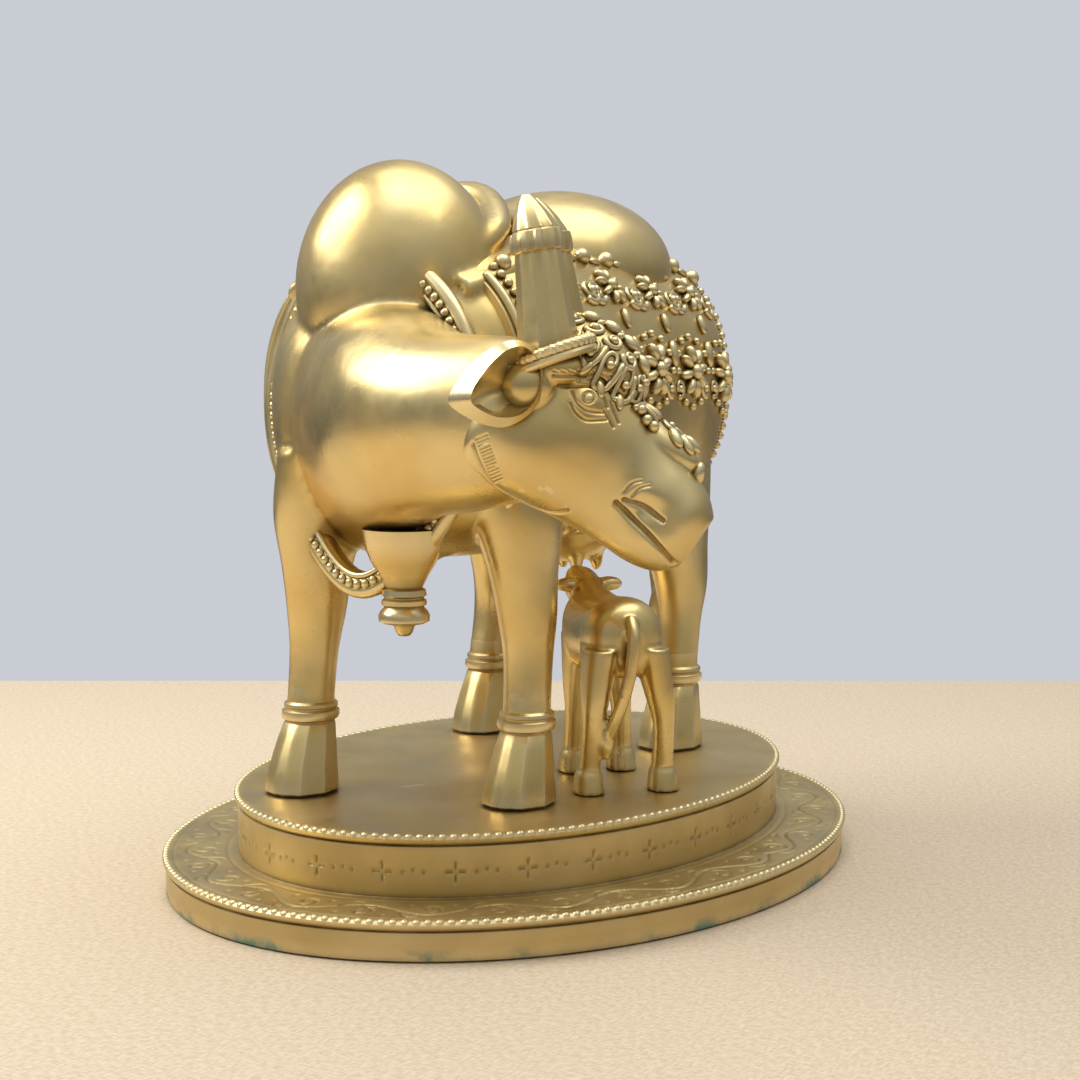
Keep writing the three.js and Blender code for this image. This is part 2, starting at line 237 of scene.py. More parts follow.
@lru_cache(maxsize=8)
def unit_ball(around: int, high: int) -> tuple[np.ndarray, np.ndarray, np.ndarray]:
    """A ball of half size one.

    Args:
        around: Its points around.
        high: Its bands from pole to pole.

    Returns:
        Its points, its four-sided faces and its three-sided faces.
    """
    lat = np.linspace(0, np.pi, high + 1)[1:-1]
    lon = np.linspace(0, 2 * np.pi, around, endpoint=False)
    rings = [np.stack([np.sin(a) * np.cos(lon), np.sin(a) * np.sin(lon), np.full(around, np.cos(a))], 1) for a in lat]
    points = np.vstack([*rings, [[0, 0, 1], [0, 0, -1]]])
    i = np.arange(around)
    j = (i + 1) % around
    rows = np.arange(high - 2)[:, None] * around
    quads = np.stack([(rows + i), (rows + around + i), (rows + around + j), (rows + j)], -1).reshape(-1, 4)
    last = (high - 2) * around
    top = np.stack([np.full(around, last + around), i, j], 1)
    foot = np.stack([np.full(around, last + around + 1), last + j, last + i], 1)
    return points, quads, np.vstack([top, foot])


class Draft:
    """The points and faces of one piece while it is being made."""

    def __init__(self) -> None:
        """Starts with nothing in it."""
        self.points: list[np.ndarray] = []
        self.faces: list[list[int]] = []
        self.count = 0

    def add(self, points: np.ndarray, *faces: np.ndarray) -> None:
        """Adds points, and faces that count from the first of them.

        Args:
            points: Rows of x, y and z.
            *faces: Arrays of faces, each with one number of corners.
        """
        for block in faces:
            self.faces.extend((np.asarray(block) + self.count).tolist())
        self.points.append(np.asarray(points, float).reshape(-1, 3))
        self.count += len(self.points[-1])

    def loft(self, rings: list | np.ndarray, closed: bool = False) -> None:
        """Adds a skin over rings of one number of points.

        Args:
            rings: The rings, in order.
            closed: Whether the last ring meets the first, which leaves no ends to cap.
        """
        rings = np.asarray(rings, float)
        m, n, _ = rings.shape
        i = np.arange(n)
        j = (i + 1) % n
        a = np.arange(m if closed else m - 1)[:, None] * n
        b = (a + n) % (m * n)
        quads = np.stack([a + i, a + j, b + j, b + i], -1).reshape(-1, 4)
        if closed:
            self.add(rings, quads)
            return
        last = (m - 1) * n
        caps = np.vstack([
            np.stack([np.full(n, m * n), j, i], 1),
            np.stack([np.full(n, m * n + 1), last + i, last + j], 1),
        ])
        self.add(np.vstack([rings.reshape(-1, 3), rings[0].mean(0), rings[-1].mean(0)]), quads, caps)

    def ball(
        self,
        place: np.ndarray,
        sizes: tuple[float, float, float],
        axes: np.ndarray | None = None,
        around: int = 14,
        high: int = 8,
    ) -> None:
        """Adds a stretched ball.

        Args:
            place: Its middle.
            sizes: Its three half sizes.
            axes: The unit directions of those sizes, as rows, or None for X, Y and Z.
            around: Its points around.
            high: Its bands from pole to pole.
        """
        points, quads, tris = unit_ball(around, high)
        stretched = points * np.asarray(sizes, float)
        if axes is not None:
            stretched = stretched @ np.asarray(axes, float)
        self.add(stretched + np.asarray(place, float), quads, tris)

    def cord(
        self,
        path: np.ndarray,
        radius: float | np.ndarray,
        sides: int = 8,
        closed: bool = False,
    ) -> None:
        """Adds a round cord along a path.

        Args:
            path: Its centreline, close enough together to be smooth.
            radius: Its half thickness, once for all or at each point.
            sides: Its points around.
            closed: Whether it closes on itself.
        """
        path = np.asarray(path, float)
        if closed:
            tangent = unit(np.roll(path, -1, 0) - np.roll(path, 1, 0))
        else:
            tangent = unit(np.gradient(path, axis=0))
        start = np.eye(3)[np.argmin(np.abs(tangent[0]))]
        normal = np.zeros_like(path)
        for k, t in enumerate(tangent):
            start = unit(start - t * (start @ t))
            normal[k] = start
        other = np.cross(tangent, normal)
        angle = np.linspace(0, 2 * np.pi, sides, endpoint=False)
        thick = np.broadcast_to(np.asarray(radius, float), (len(path),))[:, None, None]
        wheel = normal[:, None] * np.cos(angle)[None, :, None] + other[:, None] * np.sin(angle)[None, :, None]
        self.loft(path[:, None] + thick * wheel, closed)

    def build(self, name: str) -> bpy.types.Object:
        """Makes the draft into a mesh object.

        Args:
            name: The piece's name.

        Returns:
            The object, its faces turned outwards.
        """
        mesh = bpy.data.meshes.new(name)
        mesh.from_pydata((np.vstack(self.points) * MM).tolist(), [], self.faces)
        work = bmesh.new()
        work.from_mesh(mesh)
        bmesh.ops.recalc_face_normals(work, faces=work.faces)
        work.to_mesh(mesh)
        work.free()
        obj = bpy.data.objects.new(name, mesh)
        bpy.context.scene.collection.objects.link(obj)
        return obj


def cast(obj: bpy.types.Object, grain: float, rubs: int) -> None:
    """Fuses a piece's overlapping forms into one skin, as a casting is, and rubs it smooth.

    Args:
        obj: The piece, whose mesh is replaced.
        grain: The size of the new skin's faces.
        rubs: How many times the skin is smoothed.
    """
    remesh = obj.modifiers.new("fuse", "REMESH")
    remesh.mode = "VOXEL"
    remesh.voxel_size = grain * MM
    if rubs:
        rub = obj.modifiers.new("rub", "SMOOTH")
        rub.factor = 0.5
        rub.iterations = rubs
    fused = bpy.data.meshes.new_from_object(obj.evaluated_get(bpy.context.evaluated_depsgraph_get()))
    obj.modifiers.clear()
    old = obj.data
    obj.data = fused
    fused.name = old.name
    bpy.data.meshes.remove(old)


def points_of(obj: bpy.types.Object) -> np.ndarray:
    """The points of a mesh, in millimetres."""
    flat = np.zeros(len(obj.data.vertices) * 3, np.float32)
    obj.data.vertices.foreach_get("co", flat)
    return flat.reshape(-1, 3).astype(float) / MM


def set_points(obj: bpy.types.Object, points: np.ndarray) -> None:
    """Moves the points of a mesh to these places, in millimetres."""
    obj.data.vertices.foreach_set("co", (points * MM).astype(np.float32).ravel())
    obj.data.update()


def soften(obj: bpy.types.Object, edge_deg: float = 180.0) -> None:
    """Shades a mesh smooth, but for its edges sharper than an angle."""
    obj.data.shade_smooth()
    if edge_deg < 180:
        obj.data.set_sharp_from_angle(angle=math.radians(edge_deg))


class Skin:
    """The surface of a finished piece, for laying ornament on."""

    def __init__(self, *objects: bpy.types.Object) -> None:
        """Reads the surface of one or more objects."""
        vertices: list = []
        polygons: list = []
        for obj in objects:
            base = len(vertices)
            vertices.extend(v.co[:] for v in obj.data.vertices)
            polygons.extend([base + i for i in p.vertices] for p in obj.data.polygons)
        self.tree = BVHTree.FromPolygons(vertices, polygons)

    def hit(self, start: np.ndarray, heading: np.ndarray) -> tuple[np.ndarray, np.ndarray] | None:
        """Where a straight line first meets the surface.

        Args:
            start: Where the line starts, in millimetres.
            heading: Its direction.

        Returns:
            The place in millimetres and the outward normal, or None where it misses.
        """
        place, normal, _, _ = self.tree.ray_cast(Vector(start * MM), Vector(heading))
        if place is None:
            return None
        out = np.array(normal)
        return np.array(place) / MM, out if out @ heading < 0 else -out


@dataclass(frozen=True)
class Cut:
    """A line pressed into a surface, or raised on it where the depth is below zero."""

    path: np.ndarray
    width: float = 0.3
    depth: float = 0.35


def engrave(obj: bpy.types.Object, cuts: list[Cut], refinements: int = 1) -> None:
    """Presses cuts into a mesh, after making its faces finer beside them.

    Args:
        obj: The piece to engrave.
        cuts: The lines and dots to press in.
        refinements: How many times the faces beside them are halved.
    """
    spots = []
    for cut in cuts:
        path = np.atleast_2d(cut.path)
        if len(path) > 1:
            run = np.concatenate([[0], np.cumsum(np.linalg.norm(np.diff(path, axis=0), axis=1))])
            at = np.linspace(0, run[-1], max(int(run[-1] / 0.15), 1) + 1)
            path = np.stack([np.interp(at, run, path[:, c]) for c in range(3)], 1)
        spots.extend((p, cut.width, cut.depth) for p in path)
    tree = KDTree(len(spots))
    for k, (p, _, _) in enumerate(spots):
        tree.insert(p, k)
    tree.balance()
    work = bmesh.new()
    work.from_mesh(obj.data)
    for _ in range(refinements):
        edges = set()
        for face in work.faces:
            middle = face.calc_center_median() / MM
            _, k, away = tree.find(middle)
            if away < 2.2 * spots[k][1] + 0.25:
                edges.update(face.edges)
        bmesh.ops.subdivide_edges(work, edges=list(edges), cuts=1, use_grid_fill=True)
    work.normal_update()
    moves = []
    for v in work.verts:
        _, k, away = tree.find(v.co / MM)
        _, width, depth = spots[k]
        if away < 2.6 * width:
            moves.append((v, v.normal * (-depth * math.exp(-((away / width) ** 2)) * MM)))
    for v, move in moves:
        v.co += move
    bmesh.ops.triangulate(work, faces=[f for f in work.faces if len(f.verts) > 4])
    work.to_mesh(obj.data)
    work.free()


class Ground:
    """A surface that ornament is laid on, with two measures over it."""

    facing: float = 1.0

    def place(self, a: float, b: float) -> np.ndarray:
        """A point on the surface at the two measures."""
        raise NotImplementedError

    def stand(self, a: float, b: float, lift: float = 0.0) -> tuple[np.ndarray, np.ndarray]:
        """A point over the surface and the directions there.

        Args:
            a: The first measure.
            b: The second measure.
            lift: How far the point stands off the surface.

        Returns:
            The point, and rows of unit directions along a, along b and outwards.
        """
        here = self.place(a, b)
        along = unit(self.place(a + 0.4, b) - self.place(a - 0.4, b))
        beside = self.place(a, b + 0.4) - self.place(a, b - 0.4)
        out = unit(np.cross(along, beside)) * self.facing
        return here + out * lift, np.array([along, np.cross(out, along) * self.facing, out])


class Relief:
    """Raised ornament on a ground, gathered in one draft."""

    def __init__(self, draft: Draft, ground: Ground, mirrored: bool = False) -> None:
        """Lays on a ground, and with mirrored also on the place with b of the other sign."""
        self.draft = draft
        self.ground = ground
        self.signs = (1, -1) if mirrored else (1,)

    def bead(self, a: float, b: float, radius: float, stand: float = 0.35, stretch: float = 1.0) -> None:
        """Lays a bead.

        Args:
            a: Its first measure.
            b: Its second measure.
            radius: Its half size.
            stand: How far its middle stands off the ground, as a share of its radius.
            stretch: Its length along b as a share of that along a.
        """
        for sign in self.signs:
            at, axes = self.ground.stand(a, sign * b, radius * stand)
            self.draft.ball(at, (radius, radius * stretch, radius), axes, 10, 6)

    def beads(self, path: list, pitch: float, radius: float, stand: float = 0.35, closed: bool = False) -> None:
        """Lays a row of beads along a path, at a pitch."""
        for a, b in paced(path, pitch, closed):
            self.bead(a, b, radius, stand)

    def line(self, path: list, radius: float | list, stand: float = 0.2, closed: bool = False, pace: float = 0.7) -> None:
        """Lays a rounded line.

        Args:
            path: The places that it passes through.
            radius: Its half thickness, or the two at its ends.
            stand: How far its middle stands off the ground, as a share of its radius.
            closed: Whether it closes on itself.
            pace: The distance between its points.
        """
        steps = paced(path, pace, closed)
        thick = np.linspace(radius[0], radius[1], len(steps)) if isinstance(radius, list) else np.full(len(steps), radius)
        for sign in self.signs:
            run = [self.ground.stand(a, sign * b, r * stand)[0] for (a, b), r in zip(steps, thick)]
            self.draft.cord(np.array(run), thick, 7, closed)

    def petal(self, a: float, b: float, turn: float, sizes: tuple[float, float, float], stand: float = 0.1) -> None:
        """Lays a petal.

        Args:
            a: The first measure of its middle.
            b: The second measure of its middle.
            turn: The way its length points, from a towards b.
            sizes: Its half length, half width and height.
            stand: How far its middle stands off the ground, as a share of its height.
        """
        for sign in self.signs:
            at, axes = self.ground.stand(a, sign * b, sizes[2] * stand)
            c, s = math.cos(turn), math.sin(turn) * sign
            turned = np.array([axes[0] * c + axes[1] * s, axes[1] * c - axes[0] * s, axes[2]])
            self.draft.ball(at, sizes, turned, 12, 7)

    def rosette(self, a: float, b: float, radius: float, petals: int = 8, turn: float = 0.0) -> None:
        """Lays a flower with a domed heart and a ring of petals.

        Args:
            a: The first measure of its middle.
            b: The second measure of its middle.
            radius: Its half size.
            petals: How many petals it has.
            turn: The way its first petal points.
        """
        self.bead(a, b, radius * 0.3, 0.6)
        for k in range(petals):
            way = turn + 2 * math.pi * k / petals
            reach = radius * 0.62
            length, width = radius * 0.36, radius * 1.5 / petals
            self.petal(a + reach * math.cos(way), b + reach * math.sin(way), way, (length, width, radius * 0.26), 0.35)

    def curl(self, a: float, b: float, radius: float, turn: float, thick: float, winds: float = 1.4, hand: int = 1) -> None:
        """Lays a scroll that winds in to a bead.

        Args:
            a: The first measure of its middle.
            b: The second measure of its middle.
            radius: Its half size.
            turn: The way of its outer end.
            thick: Its half thickness.
            winds: How many times it winds round.
            hand: 1 or -1, the way it winds.
        """
        t = np.linspace(0, 1, 16)
        way = turn + hand * 2 * np.pi * winds * t
        reach = radius * (1 - 0.78 * t)
        path = np.stack([a + reach * np.cos(way), b + reach * np.sin(way)], 1)
        self.line(path.tolist(), [thick, thick * 0.6], 0.3, False, 0.5)
        self.bead(float(path[-1, 0]), float(path[-1, 1]), thick * 1.25, 0.5)


@dataclass(frozen=True)
class PhotoView:
    """The camera that took the picture, found from the ovals of the plinth."""

    azimuth_deg: float = 32.0
    elevation_deg: float = 5.2
    distance: float = 480.0
    focal_px: float = 1987.2
    frame_px: float = 1080.0
    sensor: float = 36.0
    aim: tuple[float, float, float] = (4.45, 2.78, 76.9)

    def axes(self) -> np.ndarray:
        """Rows of the picture's right, its up, and the way back to the eye."""
        a, e = math.radians(self.azimuth_deg), math.radians(self.elevation_deg)
        back = np.array([math.sin(a) * math.cos(e), -math.cos(a) * math.cos(e), math.sin(e)])
        right = np.array([math.cos(a), math.sin(a), 0.0])
        return np.array([right, np.cross(back, right), back])

    def eye(self) -> np.ndarray:
        """Where the camera stands."""
        return np.array(self.aim) + self.axes()[2] * self.distance

    def ray(self, u: float, v: float) -> np.ndarray:
        """The direction of a place in the picture, given in its pixels."""
        right, up, back = self.axes()
        half = self.frame_px / 2
        return unit(-back + right * (u - half) / self.focal_px + up * (half - v) / self.focal_px)


class Bench:
    """Lays out the shader nodes of one metal."""

    def __init__(self, name: str) -> None:
        """Starts an empty node tree."""
        self.metal = bpy.data.materials.new(name)
        self.metal.use_nodes = True
        self.tree = self.metal.node_tree
        self.tree.nodes.clear()

    def node(self, kind: str, **values: object) -> bpy.types.Node:
        """Adds a node.

        Args:
            kind: Its type.
            **values: Attributes to set on it.

        Returns:
            The node.
        """
        made = self.tree.nodes.new(kind)
        for key, value in values.items():
            setattr(made, key, value)
        return made

    def feed(self, node: bpy.types.Node, **inputs: object) -> bpy.types.Node:
        """Sets or links a node's inputs by name, with _ for a space."""
        for key, value in inputs.items():
            socket = node.inputs[key.replace("_", " ")]
            if isinstance(value, bpy.types.NodeSocket):
                self.tree.links.new(value, socket)
            else:
                socket.default_value = value
        return node

    def place(self) -> bpy.types.NodeSocket:
        """The place on the object, in metres."""
        return self.node("ShaderNodeNewGeometry").outputs["Position"]

    def stretched(self, stretch: tuple[float, float, float], turn: tuple[float, float, float] = (0, 0, 0)) -> bpy.types.NodeSocket:
        """The place, turned and then stretched along three axes."""
        mapping = self.node("ShaderNodeMapping")
        self.feed(mapping, Vector=self.place(), Rotation=turn, Scale=stretch)
        return mapping.outputs["Vector"]

    def noise(self, scale: float, detail: float = 3.0, rough: float = 0.5, where: bpy.types.NodeSocket | None = None) -> bpy.types.NodeSocket:
        """Cloudy noise from 0 to 1, with this many clouds to the metre."""
        made = self.node("ShaderNodeTexNoise")
        self.feed(made, Vector=where or self.place(), Scale=scale, Detail=detail, Roughness=rough)
        return made.outputs["Fac"]

    def span(self, value: bpy.types.NodeSocket, low: float, high: float, to_low: float = 0.0, to_high: float = 1.0) -> bpy.types.NodeSocket:
        """A value brought from one range to another, and held inside it."""
        made = self.node("ShaderNodeMapRange", clamp=True)
        self.feed(made, Value=value, From_Min=low, From_Max=high, To_Min=to_low, To_Max=to_high)
        return made.outputs["Result"]

    def sum(self, kind: str, a: object, b: object) -> bpy.types.NodeSocket:
        """Two numbers put together by a maths node."""
        made = self.node("ShaderNodeMath", operation=kind, use_clamp=False)
        for socket, value in zip(made.inputs, (a, b)):
            if isinstance(value, bpy.types.NodeSocket):
                self.tree.links.new(value, socket)
            else:
                socket.default_value = value
        return made.outputs[0]

    def blend(self, share: object, a: object, b: object) -> bpy.types.NodeSocket:
        """Two colours mixed, the second by the share."""
        made = self.node("ShaderNodeMix", data_type="RGBA")
        for index, value in ((0, share), (6, a), (7, b)):
            if isinstance(value, bpy.types.NodeSocket):
                self.tree.links.new(value, made.inputs[index])
            else:
                made.inputs[index].default_value = value if index == 0 else (*value, 1.0)
        return made.outputs[2]


Colour = tuple[float, float, float]


@dataclass(frozen=True)
class AgedBrass:
    """Cast brass, filed and polished, with dark wax and grime in its hollows, and painted shade that darkens those
    hollows and creases further through an occlusion mask.
    """

    name: str = "aged_brass"
    bright: Colour = (0.78, 0.62, 0.30)
    warm: Colour = (0.70, 0.50, 0.18)
    # The colour of dark wax and grime in the hollows and pits, also laid as painted shade where the hollows are
    # occluded.
    dirt_and_shade: Colour = (0.10, 0.06, 0.02)
    worn: Colour = (0.88, 0.76, 0.46)
    verdigris: Colour = (0.06, 0.22, 0.18)
    polish: float = 0.22
    dull: float = 0.42
    hollow_reach: float = 2.6
    # How strongly the hollows darken: real grime and painted shade together.
    dirt_and_shade_share: float = 0.85
    scratch: float = 0.25
    pits: float = 0.2
    spots: tuple = ()
    green_below: float = 0.0

    def make(self) -> bpy.types.Material:
        """Builds the shader.

        Returns:
            The material.
        """
        b = Bench(self.name)
        geometry = b.node("ShaderNodeNewGeometry")
        point = geometry.outputs["Pointiness"]
        # Painted shade: an ambient occlusion mask and a crease mask from pointiness darken the colour in hollows,
        # creases and between touching parts, on top of the real dark wax and grime there.
        hollow = b.node("ShaderNodeAmbientOcclusion", samples=6)
        b.feed(hollow, Distance=self.hollow_reach * MM)
        clouds = b.noise(38.0, 4.0)
        fine = b.noise(420.0, 3.0, 0.6)
        tone = b.blend(b.span(clouds, 0.35, 0.65), self.bright, self.warm)
        edge = b.span(point, 0.515, 0.56)
        tone = b.blend(b.sum("MULTIPLY", edge, 0.6), tone, self.worn)
        shut = b.span(hollow.outputs["AO"], 0.80, 0.30)
        groove = b.span(point, 0.492, 0.445)
        dark = b.sum("MAXIMUM", shut, b.sum("MULTIPLY", groove, 0.8))
        patchy = b.span(b.noise(150.0, 4.0, 0.6), 0.3, 0.62, 0.55, 1.0)
        dark = b.sum("MULTIPLY", dark, b.sum("MULTIPLY", patchy, self.dirt_and_shade_share))
        tone = b.blend(dark, tone, self.dirt_and_shade)
        specks = b.span(b.noise(900.0, 2.0, 0.7), 0.70, 0.76)
        tone = b.blend(b.sum("MULTIPLY", specks, self.pits), tone, self.dirt_and_shade)
        green = self.green(b)
        metallic = 1.0
        rough = b.span(b.noise(60.0, 5.0, 0.65), 0.3, 0.7, self.polish, self.dull)
        rough = b.sum("ADD", rough, b.sum("MULTIPLY", dark, 0.25))
        shader = b.node("ShaderNodeBsdfPrincipled")
        if green is not None:
            tone = b.blend(green, tone, self.verdigris)
            metallic = b.sum("SUBTRACT", 1.0, b.sum("MULTIPLY", green, 0.85))
            rough = b.sum("ADD", rough, b.sum("MULTIPLY", green, 0.4))
        files = b.noise(1.0, 2.0, 0.5, b.stretched((900, 60, 260), (0.5, 0.3, 0.7)))
        cross = b.noise(1.0, 2.0, 0.5, b.stretched((70, 800, 190), (0.2, 0.6, 0.2)))
        marks = b.sum("ADD", b.sum("MULTIPLY", files, self.scratch), b.sum("MULTIPLY", cross, self.scratch * 0.6))
        grain = b.sum("ADD", marks, b.sum("MULTIPLY", fine, 0.35))
        bump = b.node("ShaderNodeBump")
        b.feed(bump, Height=grain, Strength=0.22, Distance=0.12 * MM)
        swell = b.node("ShaderNodeBump")
        b.feed(swell, Height=b.noise(95.0, 2.0), Strength=0.25, Distance=0.7 * MM, Normal=bump.outputs["Normal"])
        b.feed(shader, Base_Color=tone, Metallic=metallic, Roughness=rough, Normal=swell.outputs["Normal"])
        out = b.node("ShaderNodeOutputMaterial")
        b.tree.links.new(shader.outputs["BSDF"], out.inputs["Surface"])
        return b.metal

    def green(self, b: Bench) -> bpy.types.NodeSocket | None:
        """Where green corrosion shows.

        Args:
            b: The bench with the shader's nodes.

        Returns:
            Its share from 0 to 1, or None where there is none.
        """
        shares = []
        ragged = b.span(b.noise(260.0, 5.0, 0.65), 0.42, 0.60)
        for x, y, z, radius in self.spots:
            away = b.node("ShaderNodeVectorMath", operation="DISTANCE")
            b.feed(away, Vector=b.place())
            away.inputs[1].default_value = (x * MM, y * MM, z * MM)
            near = b.span(away.outputs["Value"], radius * MM, radius * 0.35 * MM)
            shares.append(b.sum("MULTIPLY", near, ragged))
        if self.green_below:
            height = b.node("ShaderNodeSeparateXYZ")
            b.feed(height, Vector=b.place())
            low = b.span(height.outputs["Z"], self.green_below * MM, 0.0)
            shares.append(b.sum("MULTIPLY", low, b.span(b.noise(70.0, 5.0, 0.7), 0.50, 0.62)))
        if not shares:
            return None
        total = shares[0]
        for share in shares[1:]:
            total = b.sum("MAXIMUM", total, share)
        return total


@dataclass
class Foundry:
    """The finished metals, and the last steps that every piece goes through."""

    figure: bpy.types.Material
    plinth: bpy.types.Material

    def finish(self, obj: bpy.types.Object, slot: Slot, edge_deg: float, *nodes: str) -> bpy.types.Object:
        """Dresses a piece, sets it on the root body and says what it stands for.

        Args:
            obj: The piece.
            slot: Which finish it takes.
            edge_deg: The angle past which its edges stay sharp.
            *nodes: The solids that it replaces.

        Returns:
            The piece.
        """
        soften(obj, edge_deg)
        obj.data.materials.clear()
        obj.data.materials.append(self.figure if slot is Slot.FIGURE else self.plinth)
        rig.ride(obj, "root")
        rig.slot(obj, slot.value)
        if nodes:
            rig.replaces(obj, *nodes)
        LOG.info("%s: %d faces", obj.name, len(obj.data.polygons))
        return obj


@dataclass
class Trunk(Ground):
    """The barrel of the cow's body. Over it, a runs along Y and b is the drop from the spine."""

    spine: float = -5.0
    power: float = 2.3
    lift: float = 0.0
    facing: float = -1.0
    rows: tuple = (
        (-61, 15, 122, 94),
        (-58, 22, 130, 88),
        (-51, 29, 139, 81),
        (-44, 34, 144, 77.5),
        (-34, 37, 147, 75.5),
        (-16, 38.5, 148.5, 75),
        (4, 38, 148, 76),
        (24, 37, 148, 77),
        (40, 36, 148.5, 78),
        (52, 32.5, 146, 82),
        (61, 24, 139, 90),
        (66, 12.5, 129, 101),
    )

    def station(self, y: float) -> tuple[float, float, float]:
        """Half width, top and underside at a place along the body."""
        fine = refined(self.rows, 12)
        return tuple(float(np.interp(y, fine[:, 0], fine[:, c])) for c in (1, 2, 3))

    def ring(self, y: float, grow: float, count: int) -> np.ndarray:
        """The section of the body at Y, grown outwards."""
        half, top, low = self.station(y)
        tall = (top - low) / 2 + grow
        middle = np.array([self.spine, y, (top + low) / 2])
        return section(middle, np.array([1.0, 0, 0]), UP, half + grow, tall, tall, self.power, count)

    @lru_cache(maxsize=4096)
    def flank(self, y: float) -> tuple[np.ndarray, np.ndarray, np.ndarray]:
        """One half of the section at Y from spine to belly: its run, its x off the spine and its z."""
        half, top, low = self.station(y)
        angle = np.linspace(np.pi / 2, -np.pi / 2, 90)
        x = (half + self.lift) * np.abs(np.cos(angle)) ** (2 / self.power)
        tall = (top - low) / 2 + self.lift
        z = (top + low) / 2 + tall * np.sign(np.sin(angle)) * np.abs(np.sin(angle)) ** (2 / self.power)
        run = np.concatenate([[0], np.cumsum(np.hypot(np.diff(x), np.diff(z)))])
        return run, x, z

    def place(self, a: float, b: float) -> np.ndarray:
        """The point at Y and a drop from the spine, to the left for a drop above zero."""
        run, x, z = self.flank(round(float(a), 2))
        drop = abs(b)
        side = 1.0 if b >= 0 else -1.0
        return np.array([self.spine + side * np.interp(drop, run, x), a, np.interp(drop, run, z)])

    def drop_to(self, y: float, z: float) -> float:
        """The drop from the spine at which the flank is at a height."""
        run, _, height = self.flank(round(float(y), 2))
        return float(np.interp(-z, -height, run))

    def __hash__(self) -> int:
        """Lets the sections be kept between readings."""
        return id(self)


@dataclass
class CowBody:
    """The cow's trunk, neck, hump, legs, udder and tail, cast in one skin."""

    trunk: Trunk
    grain: float = 0.85
    neck_rows: tuple = (
        (-5, -38, 108, 0, 28, 34, 34),
        (-4, -48, 107.5, 8, 25, 30, 30),
        (4, -56, 107.5, 30, 20.5, 25.5, 25.5),
        (13, -62.5, 108, 55, 18.5, 22.5, 22.5),
        (24, -67.5, 109, 75, 17, 17.6, 20.8),
        (35, -70.5, 109.5, 90, 15.4, 15.8, 19.8),
        (46, -72, 109, 100, 13.3, 15.6, 17),
        (54, -70, 107, 112, 11, 13, 14),
    )
    hump_at: tuple = (-6, -39.5, 136)
    hump_sizes: tuple = (23.5, 23, 28.6)
    rolls: tuple = (
        (3.4, ((8, -48, 141), (13, -40, 143.5), (12, -28, 149.6), (3.5, -18, 156), (-6, -14, 158.5))),
        (3.0, ((16, -48, 135), (19.5, -37, 138.5), (18.5, -25, 144.5), (9, -13, 151), (-6, -8, 153))),
    )
    pad_at: tuple = (-4, 24, 142)
    pad_sizes: tuple = (29, 28, 20)
    feet: tuple = ((-25, -51, False), (24, -36, False), (-32, 34, True), (21, 40, True))
    tail_line: tuple = (
        (-5, 60, 143), (-4, 66, 132), (-2, 68, 116), (0, 66, 98), (3, 61, 84), (8, 55, 70), (12, 51, 58),
    )

    def build(self) -> bpy.types.Object:
        """Makes the cast body.

        Returns:
            The object.
        """
        draft = Draft()
        draft.loft([self.trunk.ring(y, 0, 72) for y in np.linspace(-61, 66, 64)])
        self.neck(draft)
        self.hump(draft)
        for x, y, hind in self.feet:
            self.leg(draft, x, y, hind)
        self.rear(draft)
        body = draft.build("cow_body")
        cast(body, self.grain, 6)
        return body

    def neck(self, draft: Draft) -> None:
        """Adds the neck, curving out of the collar round to the cow's left."""
        rings = []
        for x, y, z, turn, half, above, below in refined(self.neck_rows, 6):
            across = np.array([math.cos(math.radians(turn)), math.sin(math.radians(turn)), 0])
            rings.append(section(np.array([x, y, z]), across, UP, half, above, below, 2.1, 64))
        draft.loft(rings)

    def hump(self, draft: Draft) -> None:
        """Adds the hump with its two rolls, and the round saddle pad behind it."""
        draft.ball(self.hump_at, self.hump_sizes, None, 64, 36)
        draft.ball(self.pad_at, self.pad_sizes, None, 64, 36)
        middle = self.hump_at[0]
        for thick, half in self.rolls:
            left = [(2 * middle - x, y, z) for x, y, z in half[:-1]][::-1]
            draft.cord(refined([*half, *left], 8), thick, 20)

    def leg(self, draft: Draft, x: float, y: float, hind: bool) -> None:
        """Adds a leg from above the hoof into the trunk.

        Args:
            draft: The draft to add to.
            x: Where the foot stands.
            y: Where the foot stands.
            hind: Whether it is a hind leg.
        """
        inward = -math.copysign(1, x)
        back = 1.0 if hind else 0.0
        rows = [
            (14, 0, 1.2, 5.2, 5.5),
            (21, 0, 2, 5.2, 5.5),
            (32, inward * 0.3, 3 + back, 5.4, 5.8),
            (41, inward * 0.8, 3.5 + 2 * back, 6.2, 7.4 + back),
            (52, inward * 1.6, 3 + back, 7, 9.6 + 2 * back),
            (64, inward * 3, 3, 9.2, 13 + back),
            (78, inward * 6, 5, 11, 16),
        ]
        rings = []
        for up, dx, dy, rx, ry in refined(rows, 6):
            at = np.array([x + dx, y + dy, PLINTH_TOP + up])
            rings.append(section(at, np.array([1.0, 0, 0]), np.array([0, 1.0, 0]), rx, ry, ry, 2.1, 40))
        draft.loft(rings)

    def rear(self, draft: Draft) -> None:
        """Adds the udder with its teats, and the tail with its tuft."""
        draft.ball((-6, 34, 78), (12, 13, 9.5), None, 40, 24)
        for x in (-11, -1):
            for y in (29, 39):
                draft.ball((x, y, 70), (1.9, 1.9, 4.4), None, 20, 14)
        draft.cord(refined(self.tail_line, 8), 2.7, 16)
        draft.ball((12.5, 50.5, 55), (3.8, 4.2, 8), None, 24, 16)


